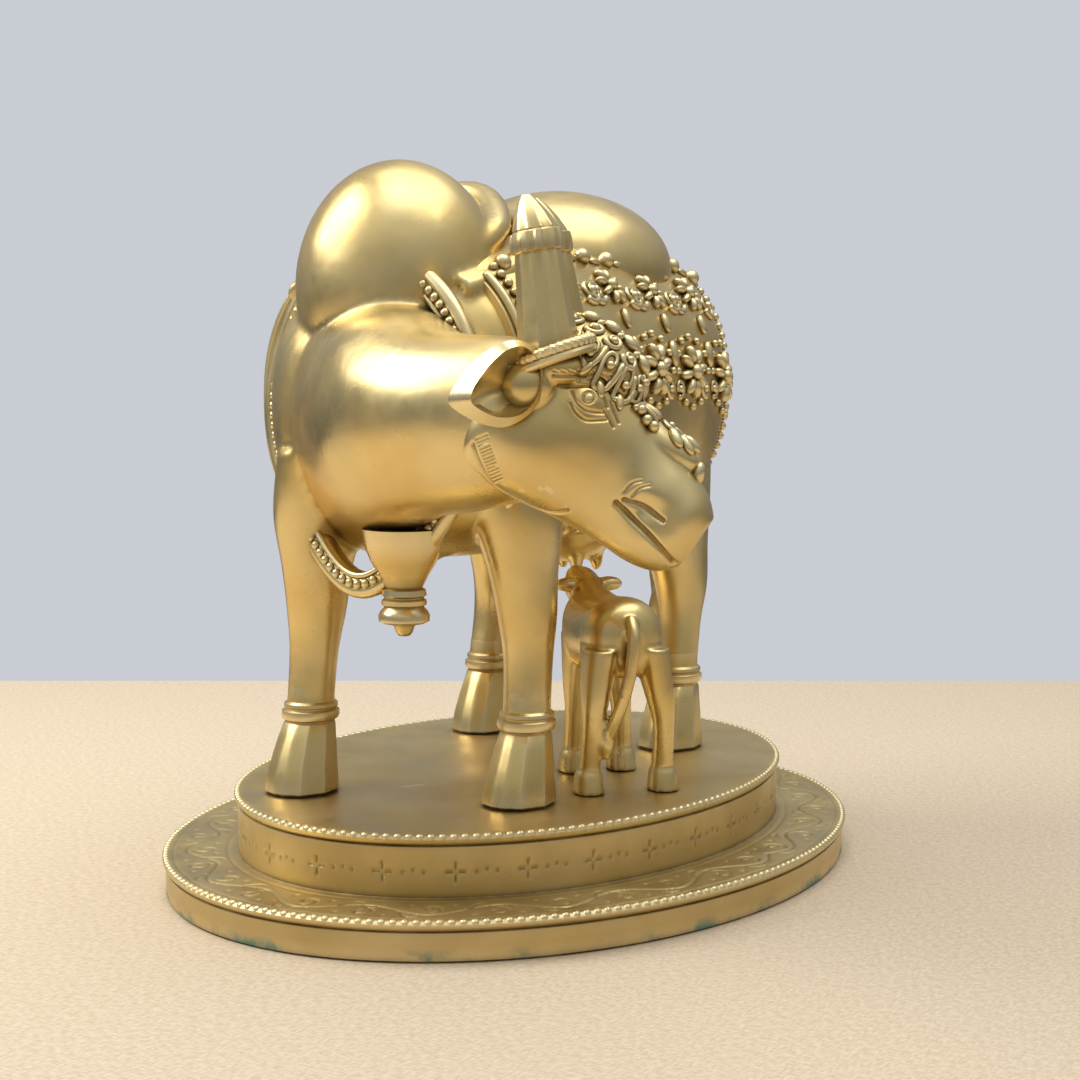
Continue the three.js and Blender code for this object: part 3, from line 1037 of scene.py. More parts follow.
@dataclass
class Hooves:
    """The filed hooves with the ring over each."""

    feet: tuple
    points: int = 64
    facets: int = 9

    def build(self) -> bpy.types.Object:
        """Makes the four hooves in one piece.

        Returns:
            The object.
        """
        draft = Draft()
        for x, y, _ in self.feet:
            self.hoof(draft, x, y)
        return draft.build("hooves")

    def hoof(self, draft: Draft, x: float, y: float) -> None:
        """Adds a hoof and its ring.

        Args:
            draft: The draft to add to.
            x: Where the foot stands.
            y: Where the foot stands.
        """
        rows = (
            (0.0, -1.5, 7.2, 8.2, 1.0), (0.8, -1.5, 7.9, 8.9, 1.0), (3.2, -1.3, 7.8, 8.7, 1.0), (6, -1, 7.4, 8.2, 1.0),
            (9.5, -0.2, 6.9, 7.5, 1.0), (13, 0.6, 6.3, 6.7, 1.0), (15.4, 1.3, 5.9, 6.1, 0.8), (15.9, 1.5, 5.6, 5.8, 0.3),
            (16.3, 1.6, 5.6, 5.8, 0.0), (16.6, 1.6, 6.3, 6.4, 0.0), (17.4, 1.8, 6.6, 6.7, 0.0), (18.4, 1.9, 6.5, 6.6, 0.0),
            (18.8, 2, 5.9, 6.1, 0.0), (19.1, 2, 5.9, 6.1, 0.0), (19.4, 2, 6.1, 6.3, 0.0), (20.1, 2, 6.0, 6.2, 0.0),
            (20.6, 2, 5.3, 5.6, 0.0), (24, 2.2, 5.1, 5.4, 0.0),
        )
        angle = np.linspace(0, 2 * np.pi, self.points, endpoint=False) - math.pi / 2
        slice_angle = 2 * np.pi / self.facets
        flat = math.cos(slice_angle / 2) / np.cos((angle + math.pi / 2) % slice_angle - slice_angle / 2)
        toe = np.exp(-((np.arctan2(np.cos(angle), -np.sin(angle)) / 0.10) ** 2))
        rings = []
        for up, back, rx, ry, filed in rows:
            shape = (1 + (flat * 1.03 - 1) * filed) * (1 - 0.07 * filed * toe)
            ring = np.stack([x + rx * shape * np.cos(angle), y + back + ry * shape * np.sin(angle)], 1)
            rings.append(np.column_stack([ring, np.full(self.points, PLINTH_TOP + up)]))
        draft.loft(rings)


@dataclass
class Head:
    """The cow's head, turned to her left and tipped down, with her eyes, mouth and jaw cut in.

    A place on it is given in two ways: by side(), along the muzzle, out to the cheek and height, and by
    skull(), along the tipped axis of the skull, out to the cheek and up from that axis.
    """

    at: tuple = (60.2, -68.0)
    turn_deg: float = 22.5
    tip_deg: float = 34.0
    grain: float = 0.42
    rows: tuple = (
        (-20, 114, 8, 9, 10),
        (-17, 112, 12.6, 15, 14.6),
        (-11.5, 108, 13.8, 17.2, 15),
        (-5, 103.6, 13.6, 17.2, 13.8),
        (2, 98.8, 11.4, 15, 12.4),
        (8, 94.7, 9.2, 12, 11.8),
        (14, 90.6, 8.6, 10.2, 11.6),
        (18.5, 87.5, 8.4, 8.2, 10),
        (21.5, 85.5, 5.6, 5, 6.4),
    )
    eye: tuple = (1.4, 113.2)

    def along(self) -> np.ndarray:
        """The level way that the muzzle points."""
        return np.array([math.cos(math.radians(self.turn_deg)), math.sin(math.radians(self.turn_deg)), 0])

    def cheek(self) -> np.ndarray:
        """The level way out of her right cheek."""
        return np.cross(self.along(), UP)

    def side(self, s: float, t: float, z: float) -> np.ndarray:
        """A place by its run along the muzzle, its distance out to the cheek and its height."""
        return np.array([*self.at, 0.0]) + self.along() * s + self.cheek() * t + UP * z

    def axes(self) -> np.ndarray:
        """Rows of the tipped axis down the muzzle, the way out of the cheek, and the way up off the skull."""
        tip = math.radians(self.tip_deg)
        forward = self.along() * math.cos(tip) - UP * math.sin(tip)
        upward = self.along() * math.sin(tip) + UP * math.cos(tip)
        return np.array([forward, self.cheek(), upward])

    def skull(self, f: float, t: float, u: float) -> np.ndarray:
        """A place by its run down the skull's axis, its distance out to the cheek and up off the axis."""
        return np.array([*self.at, 100.0]) + np.array([f, t, u]) @ self.axes()

    def measures(self, points: np.ndarray) -> tuple[np.ndarray, np.ndarray, np.ndarray]:
        """The run along the muzzle, the distance out and the height of each point."""
        away = points - np.array([*self.at, 0.0])
        return away @ self.along(), away @ self.cheek(), points[:, 2]

    def build(self) -> bpy.types.Object:
        """Makes the head in one fine skin, with its face modelled and cut.

        Returns:
            The object.
        """
        draft = Draft()
        upward = self.axes()[2]
        rings = []
        for s, z, half, above, below in refined(self.rows, 6):
            rings.append(section(self.side(s, 0, z), self.cheek(), upward, half, above, below, 2.3, 72))
        draft.loft(rings)
        self.masses(draft)
        head = draft.build("head")
        cast(head, self.grain, 5)
        self.model(head)
        engrave(head, self.cuts(head), 1)
        return head

    def masses(self, draft: Draft) -> None:
        """Adds the forehead, the nose bridge, the horns' roots and the ears' roots."""
        axes = self.axes()
        draft.ball(self.skull(-11, 0, 14.5), (12.5, 9.5, 9.2), axes, 40, 24)
        draft.ball(self.skull(7, 0, 11.2), (11, 5.2, 3.6), axes, 40, 24)
        for sign in (-1, 1):
            draft.ball(self.side(-11, sign * 10.6, 115.4), (6.5, 5, 5.6), None, 24, 16)
            draft.ball(self.side(-6.6, sign * 7.4, 118.6), (7.2, 7.2, 5), None, 24, 16)

    def model(self, head: bpy.types.Object) -> None:
        """Pushes the broad forms of the face in and out.

        Args:
            head: The head's object.
        """
        points = points_of(head)
        normals = np.zeros(len(points) * 3, np.float32)
        head.data.vertices.foreach_get("normal", normals)
        normals = normals.reshape(-1, 3).astype(float)
        s, t, z = self.measures(points)
        facing = np.clip(np.abs(normals @ self.cheek()), 0, 1)
        swells = (
            (1.3, 113.0, 7.5, 5.0, -0.9),
            (1.4, 112.9, 3.5, 2.5, 1.5),
            (1.0, 118.0, 6.5, 1.6, 0.5),
            (-9.0, 102.0, 9.0, 8.0, 0.8),
            (11.5, 91.5, 3.0, 2.2, -1.1),
            (14.5, 95.0, 5.0, 3.5, 0.5),
            (10.0, 85.0, 5.0, 2.5, 0.4),
        )
        push = np.zeros(len(points))
        for at_s, at_z, wide, tall, amount in swells:
            push += amount * np.exp(-(((s - at_s) / wide) ** 2) - ((z - at_z) / tall) ** 2)
        set_points(head, points + normals * (push * facing)[:, None])

    def on_cheek(self, skin: Skin, path: list, sign: int) -> np.ndarray:
        """Lays a side-view path on one cheek.

        Args:
            skin: The head's surface.
            path: Places by their run along the muzzle and their height.
            sign: 1 for the right cheek and -1 for the left.

        Returns:
            The points on the surface.
        """
        found = []
        for s, z in paced(path, 0.4):
            hit = skin.hit(self.side(s, 40 * sign, z), -self.cheek() * sign)
            if hit is not None:
                found.append(hit[0])
        return np.array(found)

    def cuts(self, head: bpy.types.Object) -> list[Cut]:
        """The lines of the face.

        Args:
            head: The head's object.

        Returns:
            The cuts on both cheeks.
        """
        lines = (
            (0.34, 0.45, [(-5, 117.2), (-2.1, 117), (-0.2, 117.2), (1.7, 117.4), (3, 116.9), (4.3, 115.5), (5.1, 114.2), (5.7, 112.7)]),
            (0.32, 0.45, [(-4.2, 115.3), (-2.1, 115.3), (0.2, 115.5), (1.7, 115.2), (3, 114.2), (4.2, 112.9), (4.7, 111.4)]),
            (0.30, 0.40, [(-1.9, 114.4), (-1.2, 112.7), (0, 111.4), (1.3, 110.6), (3.2, 110.3), (4.2, 110.3)]),
            (0.30, 0.40, [(-2.1, 112.3), (-1, 110.4), (0.5, 109.1), (1.7, 108.8), (3.6, 108.9), (4.7, 109)]),
            (0.28, 0.40, [(5.3, 112.2), (6.8, 108.4)]),
            (0.28, 0.40, [(4.2, 110.7), (5.9, 107.6)]),
            (0.55, 1.00, [(6.4, 93), (10.8, 88.8), (14.7, 84.5), (17, 81.2)]),
            (0.50, 0.80, [(7.9, 93.6), (11.4, 92.3), (15.2, 89.8)]),
            (0.30, 0.40, [(7.9, 95.1), (9.4, 96.8), (11.2, 97.4)]),
            (0.30, 0.40, [(9.3, 94.2), (10.8, 95.9), (12.7, 96.5)]),
            (0.40, 0.60, [(-21.1, 104.1), (-19.9, 100.2), (-18.2, 96.8), (-15.7, 94.5), (-11.8, 92.3), (-6.9, 90.8), (-3.1, 91.4)]),
        )
        skin = Skin(head)
        made = []
        for sign in (-1, 1):
            for width, depth, path in lines:
                run = self.on_cheek(skin, path, sign)
                if len(run):
                    made.append(Cut(run, width, depth))
            ring = [(self.eye[0] + 1.1 * math.cos(k), self.eye[1] + 1.1 * math.sin(k)) for k in np.linspace(0, 2 * np.pi, 13)]
            made.append(Cut(self.on_cheek(skin, ring, sign), 0.25, 0.35))
            made.extend(self.lashes(skin, sign))
        return made

    def lashes(self, skin: Skin, sign: int) -> list[Cut]:
        """The short strokes over the brow and behind the jaw on one cheek.

        Args:
            skin: The head's surface.
            sign: 1 for the right cheek and -1 for the left.

        Returns:
            The cuts.
        """
        made = []
        for k in range(8):
            s = -4.8 + 1.35 * k
            z = 118.2 - 0.012 * max(k - 3, 0) ** 3
            made.append(Cut(self.on_cheek(skin, [(s, z), (s + 1.5, z - 0.9)], sign), 0.22, 0.3))
        for k in range(14):
            share = k / 13
            s, z = -20.6 + 2.6 * share, 105.2 - 8.5 * share
            made.append(Cut(self.on_cheek(skin, [(s + 0.4, z), (s + 2.6, z + 0.9)], sign), 0.2, 0.22))
        return made


@dataclass
class HornsAndEars:
    """The filed horns with their rings, and the bowl-shaped ears with flat-filed rims."""

    head: Head
    spread: float = 7.6
    outer: tuple = (
        (-24.6, 112.2), (-23.9, 114.6), (-22.1, 117.4), (-19.4, 120.4), (-16.4, 122.6), (-13.3, 123.9),
        (-10.6, 123.8), (-8.4, 122.4), (-6.8, 120.0), (-6.4, 117.2), (-6.8, 114.3), (-8.2, 111.4),
        (-10.8, 109.0), (-14.2, 107.6), (-18.0, 108.2), (-21.6, 109.8),
    )
    inner: tuple = (
        (-19.6, 112.6), (-19.2, 114.9), (-17.8, 117.2), (-16.0, 119.6), (-13.9, 121.6), (-12.0, 122.6),
        (-10.0, 122.7), (-8.3, 121.3), (-7.4, 119.3), (-7.1, 116.6), (-7.6, 113.9), (-9.0, 111.4),
        (-11.3, 109.8), (-14.2, 109.5), (-16.6, 110.2), (-18.6, 111.4),
    )

    def build(self) -> tuple[bpy.types.Object, bpy.types.Object]:
        """Makes both horns and both ears.

        Returns:
            The horns' object and the ears' object.
        """
        horns, ears = Draft(), Draft()
        for sign in (-1, 1):
            self.horn(horns, sign)
            self.ear(ears, sign)
        return horns.build("horns"), ears.build("ears")

    def ear(self, draft: Draft, sign: int) -> None:
        """Adds an ear: hollow, rim and back.

        Args:
            draft: The draft to add to.
            sign: 1 for the right ear and -1 for the left.
        """
        outer = refined(self.outer, 3, True)
        inner = refined(self.inner, 3, True)
        heart = np.array([-12.8, 115.6])
        lip = 15.6 + (-7 - inner[:, 0]) * 0.36
        rim = lip - 1.4 - 0.14 * np.linalg.norm(outer - inner, axis=1) * 2.2

        def ring(flat: np.ndarray, out: np.ndarray | float) -> np.ndarray:
            """One ring of the ear, from its side view and its distance out."""
            reach = np.broadcast_to(out, (len(flat),))
            return np.array([self.head.side(s, t * sign, z) for (s, z), t in zip(flat, reach)])

        wobble = 1 + 0.10 * np.sin(np.linspace(0, 2 * np.pi, len(inner), endpoint=False) * 5 + 0.6)
        rings = [
            ring(heart + (inner - heart) * 0.22, 13.0),
            ring(heart + (inner - heart) * (0.55 * wobble)[:, None], lip - 4.2),
            ring(heart + (inner - heart) * 0.90, lip - 1.6),
            ring(inner, lip),
            ring(outer, rim),
            ring(heart + (outer - heart) * 0.97, rim - 0.8),
            ring(heart + (outer - heart) * 0.80, rim - 3.2),
            ring(heart + (outer - heart) * 0.45, 11.0),
            ring(heart + (outer - heart) * 0.30, 8.0),
        ]
        draft.loft(rings)

    def horn(self, draft: Draft, sign: int) -> None:
        """Adds a horn with a roped ring at its foot and a notched ring below its tip.

        Args:
            draft: The draft to add to.
            sign: 1 for the right horn and -1 for the left.
        """
        rows = (
            (-6.5, 118.0, 6.2, 0.2, 1.0), (-7.0, 122.0, 6.1, 0.2, 1.0), (-7.4, 126.0, 5.6, 0.4, 1.0),
            (-8.4, 134.0, 4.9, 1.0, 1.0), (-9.2, 140.2, 4.5, 1.4, 1.0), (-9.3, 140.8, 4.4, 1.4, 0.5),
            (-9.35, 141.1, 4.9, 1.4, 0.0), (-9.5, 142.2, 5.1, 1.5, 0.0), (-9.6, 143.6, 5.0, 1.6, 0.0),
            (-9.7, 144.7, 4.8, 1.8, 0.0), (-9.8, 145.0, 4.3, 1.8, 0.5), (-9.9, 145.3, 4.3, 1.8, 1.0),
            (-10.7, 148.0, 3.3, 2.1, 1.0), (-11.4, 150.2, 2.1, 2.4, 1.0), (-11.9, 151.8, 0.9, 2.8, 1.0),
        )
        points, facets = 66, 11
        angle = np.linspace(0, 2 * np.pi, points, endpoint=False)
        slice_angle = 2 * np.pi / facets
        flat = math.cos(slice_angle / 2) / np.cos(angle % slice_angle - slice_angle / 2) * 1.02
        rings = []
        for s, z, half, inward, filed in rows:
            notch = 1 + 0.03 * (1 - filed) * np.sign(np.sin(angle * 11))
            reach = half * (1 + (flat - 1) * filed) * (notch if filed == 0 else 1)
            ds, dt = reach * np.cos(angle), reach * np.sin(angle)
            t = sign * (self.spread - inward)
            rings.append([self.head.side(s + a, t + c, z + 0.16 * a) for a, c in zip(ds, dt)])
        draft.loft(rings)
        for radius, z, thick, strands in ((7.3, 121.6, 1.15, 34), (7.9, 119.9, 0.9, 0)):
            turn = np.linspace(0, 2 * np.pi, 72, endpoint=False)
            run = np.array([
                self.head.side(-6.2 + radius * math.cos(k), sign * self.spread + radius * math.sin(k), z + 0.36 * radius * math.cos(k))
                for k in turn
            ])
            draft.cord(run, thick, 10, True)
            for k in range(strands):
                at = run[int(k * 72 / strands)]
                draft.ball(at, (thick * 1.12,) * 3, None, 10, 6)


@dataclass
class HeadGround(Ground):
    """The top of the head. Over it, a runs down the skull's axis and b runs out to the cheek."""

    head: Head
    skin: Skin
    facing: float = -1.0

    def place(self, a: float, b: float) -> np.ndarray:
        """The point under a place on the skull."""
        hit = self.skin.hit(self.head.skull(a, b, 45), -self.head.axes()[2])
        return hit[0] if hit else self.head.skull(a, b, 12)


@dataclass
class BrowOrnament:
    """The curls and leaves over the forehead, and the nose piece below them."""

    head: Head
    skin: Skin

    def build(self) -> bpy.types.Object:
        """Makes the ornament in one piece.

        Returns:
            The object.
        """
        draft = Draft()
        ground = HeadGround(self.head, self.skin)
        both = Relief(draft, ground, True)
        middle = Relief(draft, ground)
        for k, f in enumerate((-20.0, -15.6, -11.2, -6.8, -2.6)):
            wide = (5.6, 7.4, 8.0, 7.4, 5.6)[k]
            both.curl(f, wide, 2.3, -0.6, 0.75, 1.3)
            both.curl(f + 2.1, wide * 0.52, 2.0, 2.4, 0.7, 1.2, -1)
            both.petal(f + 1.2, wide + 1.6, 0.7, (2.0, 0.9, 0.8), 0.4)
            middle.petal(f, 0, 0, (2.1, 1.5, 1.3), 0.5)
            both.bead(f + 2.3, 1.5, 0.8, 0.6)
        middle.line([(1.5, -5.4), (2.2, 0), (1.5, 5.4)], 0.7, 0.5)
        self.nose_piece(both, middle)
        return draft.build("brow_ornament")

    def nose_piece(self, both: Relief, middle: Relief) -> None:
        """Adds the beads, the ribbed fan, the ringed boss, the leaves and the drop down the nose.

        Args:
            both: The relief for what is on either side.
            middle: The relief for what is on the middle line.
        """
        for f, t in ((2.6, 4.2), (4.6, 4.5), (6.6, 4.3)):
            both.bead(f, t, 1.15, 0.5)
        for k in range(5):
            middle.petal(4.2, -2.6 + 1.3 * k, 0, (2.6, 0.62, 1.1), 0.5)
        middle.line([(9.0 + 1.6 * math.cos(k), 1.6 * math.sin(k)) for k in np.linspace(0, 2 * np.pi, 9)[:-1]], 0.5, 0.5, True)
        middle.bead(9.0, 0, 0.8, 0.6)
        both.petal(11.2, 3.0, 0.5, (2.4, 1.2, 0.9), 0.4)
        both.petal(13.6, 2.0, 0.3, (2.4, 1.1, 0.9), 0.4)
        middle.petal(14.2, 0, 0, (2.2, 1.1, 1.1), 0.5)
        middle.petal(18.0, 0, 0, (2.6, 1.7, 1.3), 0.5)


@dataclass
class Collar:
    """The broad collar round the foot of the neck, with its bead row, and the bell under its point."""

    line: tuple = (
        (-8, -49, 142), (8, -51, 138), (20, -53, 126), (24, -54, 108), (17, -54, 89), (4, -56, 75),
        (-6, -56, 72), (-17, -54, 80), (-29, -50, 96), (-33, -48, 112), (-28, -47, 129), (-19, -48, 138),
    )
    centre: tuple = (-5, -46, 107)
    bead_pitch: float = 2.25
    bell_at: tuple = (6.5, -56.0)

    def build(self) -> bpy.types.Object:
        """Makes the collar.

        Returns:
            The object.
        """
        draft = Draft()
        path = paced(self.line, 1.2, True)
        band = []
        angle = np.linspace(0, 2 * np.pi, 20, endpoint=False)
        for at in path:
            out = self.outward(at)
            band.append([at + out * 2.4 * math.cos(k) + np.array([0, 3.2 * math.sin(k), 0]) for k in angle])
        draft.loft(band, True)
        draft.cord(self.beside(path, 1.7, -1.6), 1.7, 12, True)
        draft.cord(self.beside(path, -1.7, -2.6), 0.75, 8, True)
        for at in paced(self.beside(path, 0.1, -3.1), self.bead_pitch, True):
            draft.ball(at, (1.05, 1.05, 1.05), None, 12, 8)
        return draft.build("collar")

    def outward(self, at: np.ndarray) -> np.ndarray:
        """The level-or-upright way out from the middle of the collar."""
        away = at - np.array(self.centre)
        away[1] = 0
        return unit(away)

    def beside(self, path: np.ndarray, out: float, forward: float) -> np.ndarray:
        """A path beside the collar's own, moved outwards and along Y."""
        return np.array([at + self.outward(at) * out + np.array([0, forward, 0]) for at in path])

    def build_bell(self) -> bpy.types.Object:
        """Makes the bell under the collar's point.

        Returns:
            The object.
        """
        rows = (
            (84, 9.0), (80, 8.4), (77, 7.2), (73.6, 5.2), (71.2, 4.0), (70.8, 4.7), (69.6, 4.9), (69.2, 4.3),
            (68.9, 4.3), (68.5, 4.9), (67.6, 4.9), (67.2, 4.3), (66.9, 4.4), (66.2, 5.1), (65.2, 5.6), (64.0, 5.5),
            (63.5, 4.6), (63.3, 2.6), (62.6, 2.2), (61.6, 1.9), (60.8, 1.3), (60.6, 0.5),
        )
        draft = Draft()
        x, y = self.bell_at
        rings = []
        for z, half in rows:
            rings.append(section(np.array([x, y, z]), np.array([1.0, 0, 0]), np.array([0, 1.0, 0]), half, half, half, 2, 48))
        draft.loft(rings)
        return draft.build("bell")


@dataclass
class SaddleCloth:
    """The richly beaded saddle cloth, cast over the back and both flanks."""

    trunk: Trunk
    front: float = -45.0
    rear: float = 57.0
    hem: float = 86.0
    thick: float = 1.5

    def sheet(self) -> bpy.types.Object:
        """Makes the cloth itself.

        Returns:
            The object.
        """
        draft = Draft()
        ground = Trunk(lift=self.thick)
        places = np.linspace(self.front, self.rear, 100)
        rings = []
        for y in places:
            low = ground.drop_to(y, self.hem)
            over = [ground.place(y, b) for b in np.linspace(-low, low, 150)]
            under = [self.trunk.place(y, b) - UP * 0 for b in np.linspace(low, -low, 60)]
            inner = [p + (np.array([self.trunk.spine, y, 112]) - p) * 0.03 for p in under]
            rings.append(over + inner)
        draft.loft(rings)
        return draft.build("saddle_cloth")

    def relief(self) -> bpy.types.Object:
        """Makes the bead rows, flowers, scrolls and tassels on both flanks.

        Returns:
            The object.
        """
        draft = Draft()
        ground = Trunk(lift=self.thick)
        lay = Relief(draft, ground, True)
        hem = [(y, ground.drop_to(y, self.hem + 1.2)) for y in np.linspace(self.front + 1.5, self.rear - 1.5, 26)]
        inner_hem = [(y, b - 5.6) for y, b in hem[1:-1]]
        front = [(self.front + 1.5, b) for b in np.linspace(26, hem[0][1], 14)]
        rear = [(self.rear - 1.5, b) for b in np.linspace(6, hem[-1][1], 14)]
        for edge in (hem, front, rear):
            lay.line(edge, 1.0, 0.4)
        lay.beads([(y, b - 2.9) for y, b in hem[1:-1]], 2.5, 1.15)
        lay.beads([(y + 2.9, b) for y, b in front], 2.5, 1.15)
        lay.beads([(y - 2.9, b) for y, b in rear], 2.5, 1.15)
        lay.line(inner_hem, 0.7, 0.4)
        self.field(lay, ground)
        self.tassels(lay, hem)
        return draft.build("cloth_relief")

    def field(self, lay: Relief, ground: Trunk) -> None:
        """Adds the flowers, scrolls and round beads of the field.

        Args:
            lay: The relief to add to.
            ground: The cloth's surface; not used.
        """
        for k, y in enumerate(np.linspace(-33, 45, 5)):
            lay.rosette(y, 56, 6.6, 8, 0.2 * k)
            for way in np.linspace(0, 2 * np.pi, 12, endpoint=False):
                lay.bead(y + 8.4 * math.cos(way), 56 + 8.4 * math.sin(way), 0.95, 0.5)
        for k, y in enumerate(np.linspace(-23.5, 35.5, 4)):
            lay.rosette(y, 36 + 0.0 * k, 5.2, 8, 0.3)
            lay.curl(y - 8.4, 38, 3.2, 0.6, 0.95, 1.4)
            lay.curl(y + 8.4, 38, 3.2, 2.5, 0.95, 1.4, -1)
            lay.petal(y, 44.5, math.pi / 2, (2.6, 1.3, 1.0), 0.4)
        for y in np.linspace(-38, 50, 9):
            lay.bead(y, 26.5, 2.1, 0.35)
            lay.petal(y + 5.5, 27.0, 0, (2.5, 1.0, 0.9), 0.4)
        for y in np.linspace(-23.5, 35.5, 4):
            lay.petal(y, 52, math.pi / 2, (3.4, 1.5, 1.2), 0.4)
            lay.curl(y - 2.6, 60, 2.3, 1.2, 0.75, 1.2)
            lay.curl(y + 2.6, 60, 2.3, 1.9, 0.75, 1.2, -1)

    def tassels(self, lay: Relief, hem: list) -> None:
        """Adds the hem's tassels, each a bead over a ribbed drop.

        Args:
            lay: The relief to add to.
            hem: The hem's line.
        """
        for y in np.arange(self.front + 5, self.rear - 3, 6.4):
            b = float(np.interp(y, [h[0] for h in hem], [h[1] for h in hem]))
            lay.bead(float(y), b + 1.6, 1.5, 0.3)
            lay.petal(float(y), b + 4.6, math.pi / 2, (3.2, 2.0, 1.6), 0.1)
            for dy in (-1.1, 0, 1.1):
                lay.petal(float(y) + dy, b + 6.2, math.pi / 2, (2.6, 0.6, 1.1), 0.5)


@dataclass
class Calf:
    """The calf, standing at her dam's udder with her back to the viewer."""

    at: tuple = (35, -11)
    turn_deg: float = 136
    grain: float = 0.5

    def world(self, points: np.ndarray) -> np.ndarray:
        """Places from the calf's own frame, which faces +X, to the group's."""
        a = math.radians(self.turn_deg)
        turn = np.array([[math.cos(a), -math.sin(a), 0], [math.sin(a), math.cos(a), 0], [0, 0, 1]])
        return np.asarray(points, float) @ turn.T + np.array([*self.at, PLINTH_TOP])

    def axes(self, tip: float = 0.0) -> np.ndarray:
        """Rows of the calf's forward, left and up, tipped nose down by an angle."""
        c, s = math.cos(tip), math.sin(tip)
        own = np.array([[c, 0, -s], [0, 1, 0], [s, 0, c]])
        return self.world(own) - self.world(np.zeros(3))

    def build(self) -> bpy.types.Object:
        """Makes the cast calf.

        Returns:
            The object.
        """
        draft = Draft()
        self.trunk(draft)
        self.head(draft)
        for side in (-1, 1):
            for at, wide in ((-3.5, 8.8), (21, 6)):
                self.leg(draft, at, side * wide)
        dock = self.world(refined([(-7, 0, 40), (-10, 0, 36), (-10.5, 1, 28), (-9.5, 3, 20), (-7.5, 5, 14)], 8))
        draft.cord(dock, 1.5, 14)
        draft.ball(self.world(np.array([-7, 5.6, 12])), (1.9, 1.9, 4), None, 20, 12)
        calf = draft.build("calf_body")
        cast(calf, self.grain, 5)
        return calf

    def trunk(self, draft: Draft) -> None:
        """Adds the trunk and the neck."""
        trunk = (
            (-8, 34, 3.5, 4.5), (-6, 34.5, 7, 8), (-1, 35, 9.2, 9.2), (8, 34.5, 9.4, 9), (18, 34, 8.8, 9),
            (25, 35, 7.4, 8.6), (29, 36, 4, 5.5),
        )
        neck = ((18, 36, 5.5, 7.5), (24, 38.5, 4.8, 6.4), (29, 41, 4.2, 5.4), (33, 42.4, 3.8, 4.8))
        for rows in (trunk, neck):
            rings = []
            for x, z, wide, tall in refined(rows, 6):
                rings.append(self.world(section(np.array([x, 0, z]), np.array([0, 1.0, 0]), UP, wide, tall, tall, 2.2, 40)))
            draft.loft(rings)

    def head(self, draft: Draft) -> None:
        """Adds the head, muzzle and ears."""
        draft.ball(self.world(np.array([33, 0, 42.6])), (7.6, 4.6, 4.4), self.axes(-0.42), 32, 20)
        draft.ball(self.world(np.array([37.6, 0, 44.4])), (4.2, 3.2, 2.9), self.axes(-0.5), 28, 16)
        for side in (-1, 1):
            draft.ball(self.world(np.array([28.5, 5 * side, 44])), (2, 3.6, 1.8), self.axes(), 20, 12)

    def leg(self, draft: Draft, at: float, y: float) -> None:
        """Adds a leg with its hoof.

        Args:
            draft: The draft to add to.
            at: Where it stands along the calf.
            y: Where it stands across the calf.
        """
        lift = 1 if at < 0 else 0
        rows = (
            (at - 0.6, y, 0, 4.3, 3.6), (at - 0.4, y, 4.6, 3.6, 3.1), (at - 0.8, y * 0.98, 6, 2.7, 2.5),
            (at - 1.4 - lift, y * 0.95, 15, 2.6, 2.4), (at - 0.6 - lift, y * 0.86, 22, 4.2, 3.2), (at + 1, y * 0.66, 33, 6.6, 4.2),
        )
        rings = []
        for x, side, z, rx, ry in refined(rows, 5):
            rings.append(self.world(section(np.array([x, side, z]), np.array([1.0, 0, 0]), np.array([0, 1.0, 0]), rx, ry, ry, 2.2, 32)))
        draft.loft(rings)


@dataclass
class TierGround(Ground):
    """An oval tier. Over it, a runs round the rim, and b runs in from the rim or up the side."""

    long: float
    wide: float
    height: float
    upright: bool = False
    facing: float = 1.0

    @property
    def girth(self) -> float:
        """The length once round the rim."""
        return float(self.run()[1][-1])

    @lru_cache(maxsize=8)
    def run(self) -> tuple[np.ndarray, np.ndarray]:
        """Angles round the oval and the run of the rim up to each."""
        angle = np.linspace(0, 2 * np.pi, 1441)
        x, y = self.wide * np.cos(angle), self.long * np.sin(angle)
        return angle, np.concatenate([[0], np.cumsum(np.hypot(np.diff(x), np.diff(y)))])

    def place(self, a: float, b: float) -> np.ndarray:
        """The point at a run round the rim, and b in from it or up the side."""
        angle, run = self.run()
        k = float(np.interp(a % run[-1], run, angle))
        inward = 0 if self.upright else b
        z = b if self.upright else self.height
        return np.array([(self.wide - inward) * math.cos(k), (self.long - inward) * math.sin(k), z])

    def __hash__(self) -> int:
        """Lets the rim's run be kept between readings."""
        return id(self)


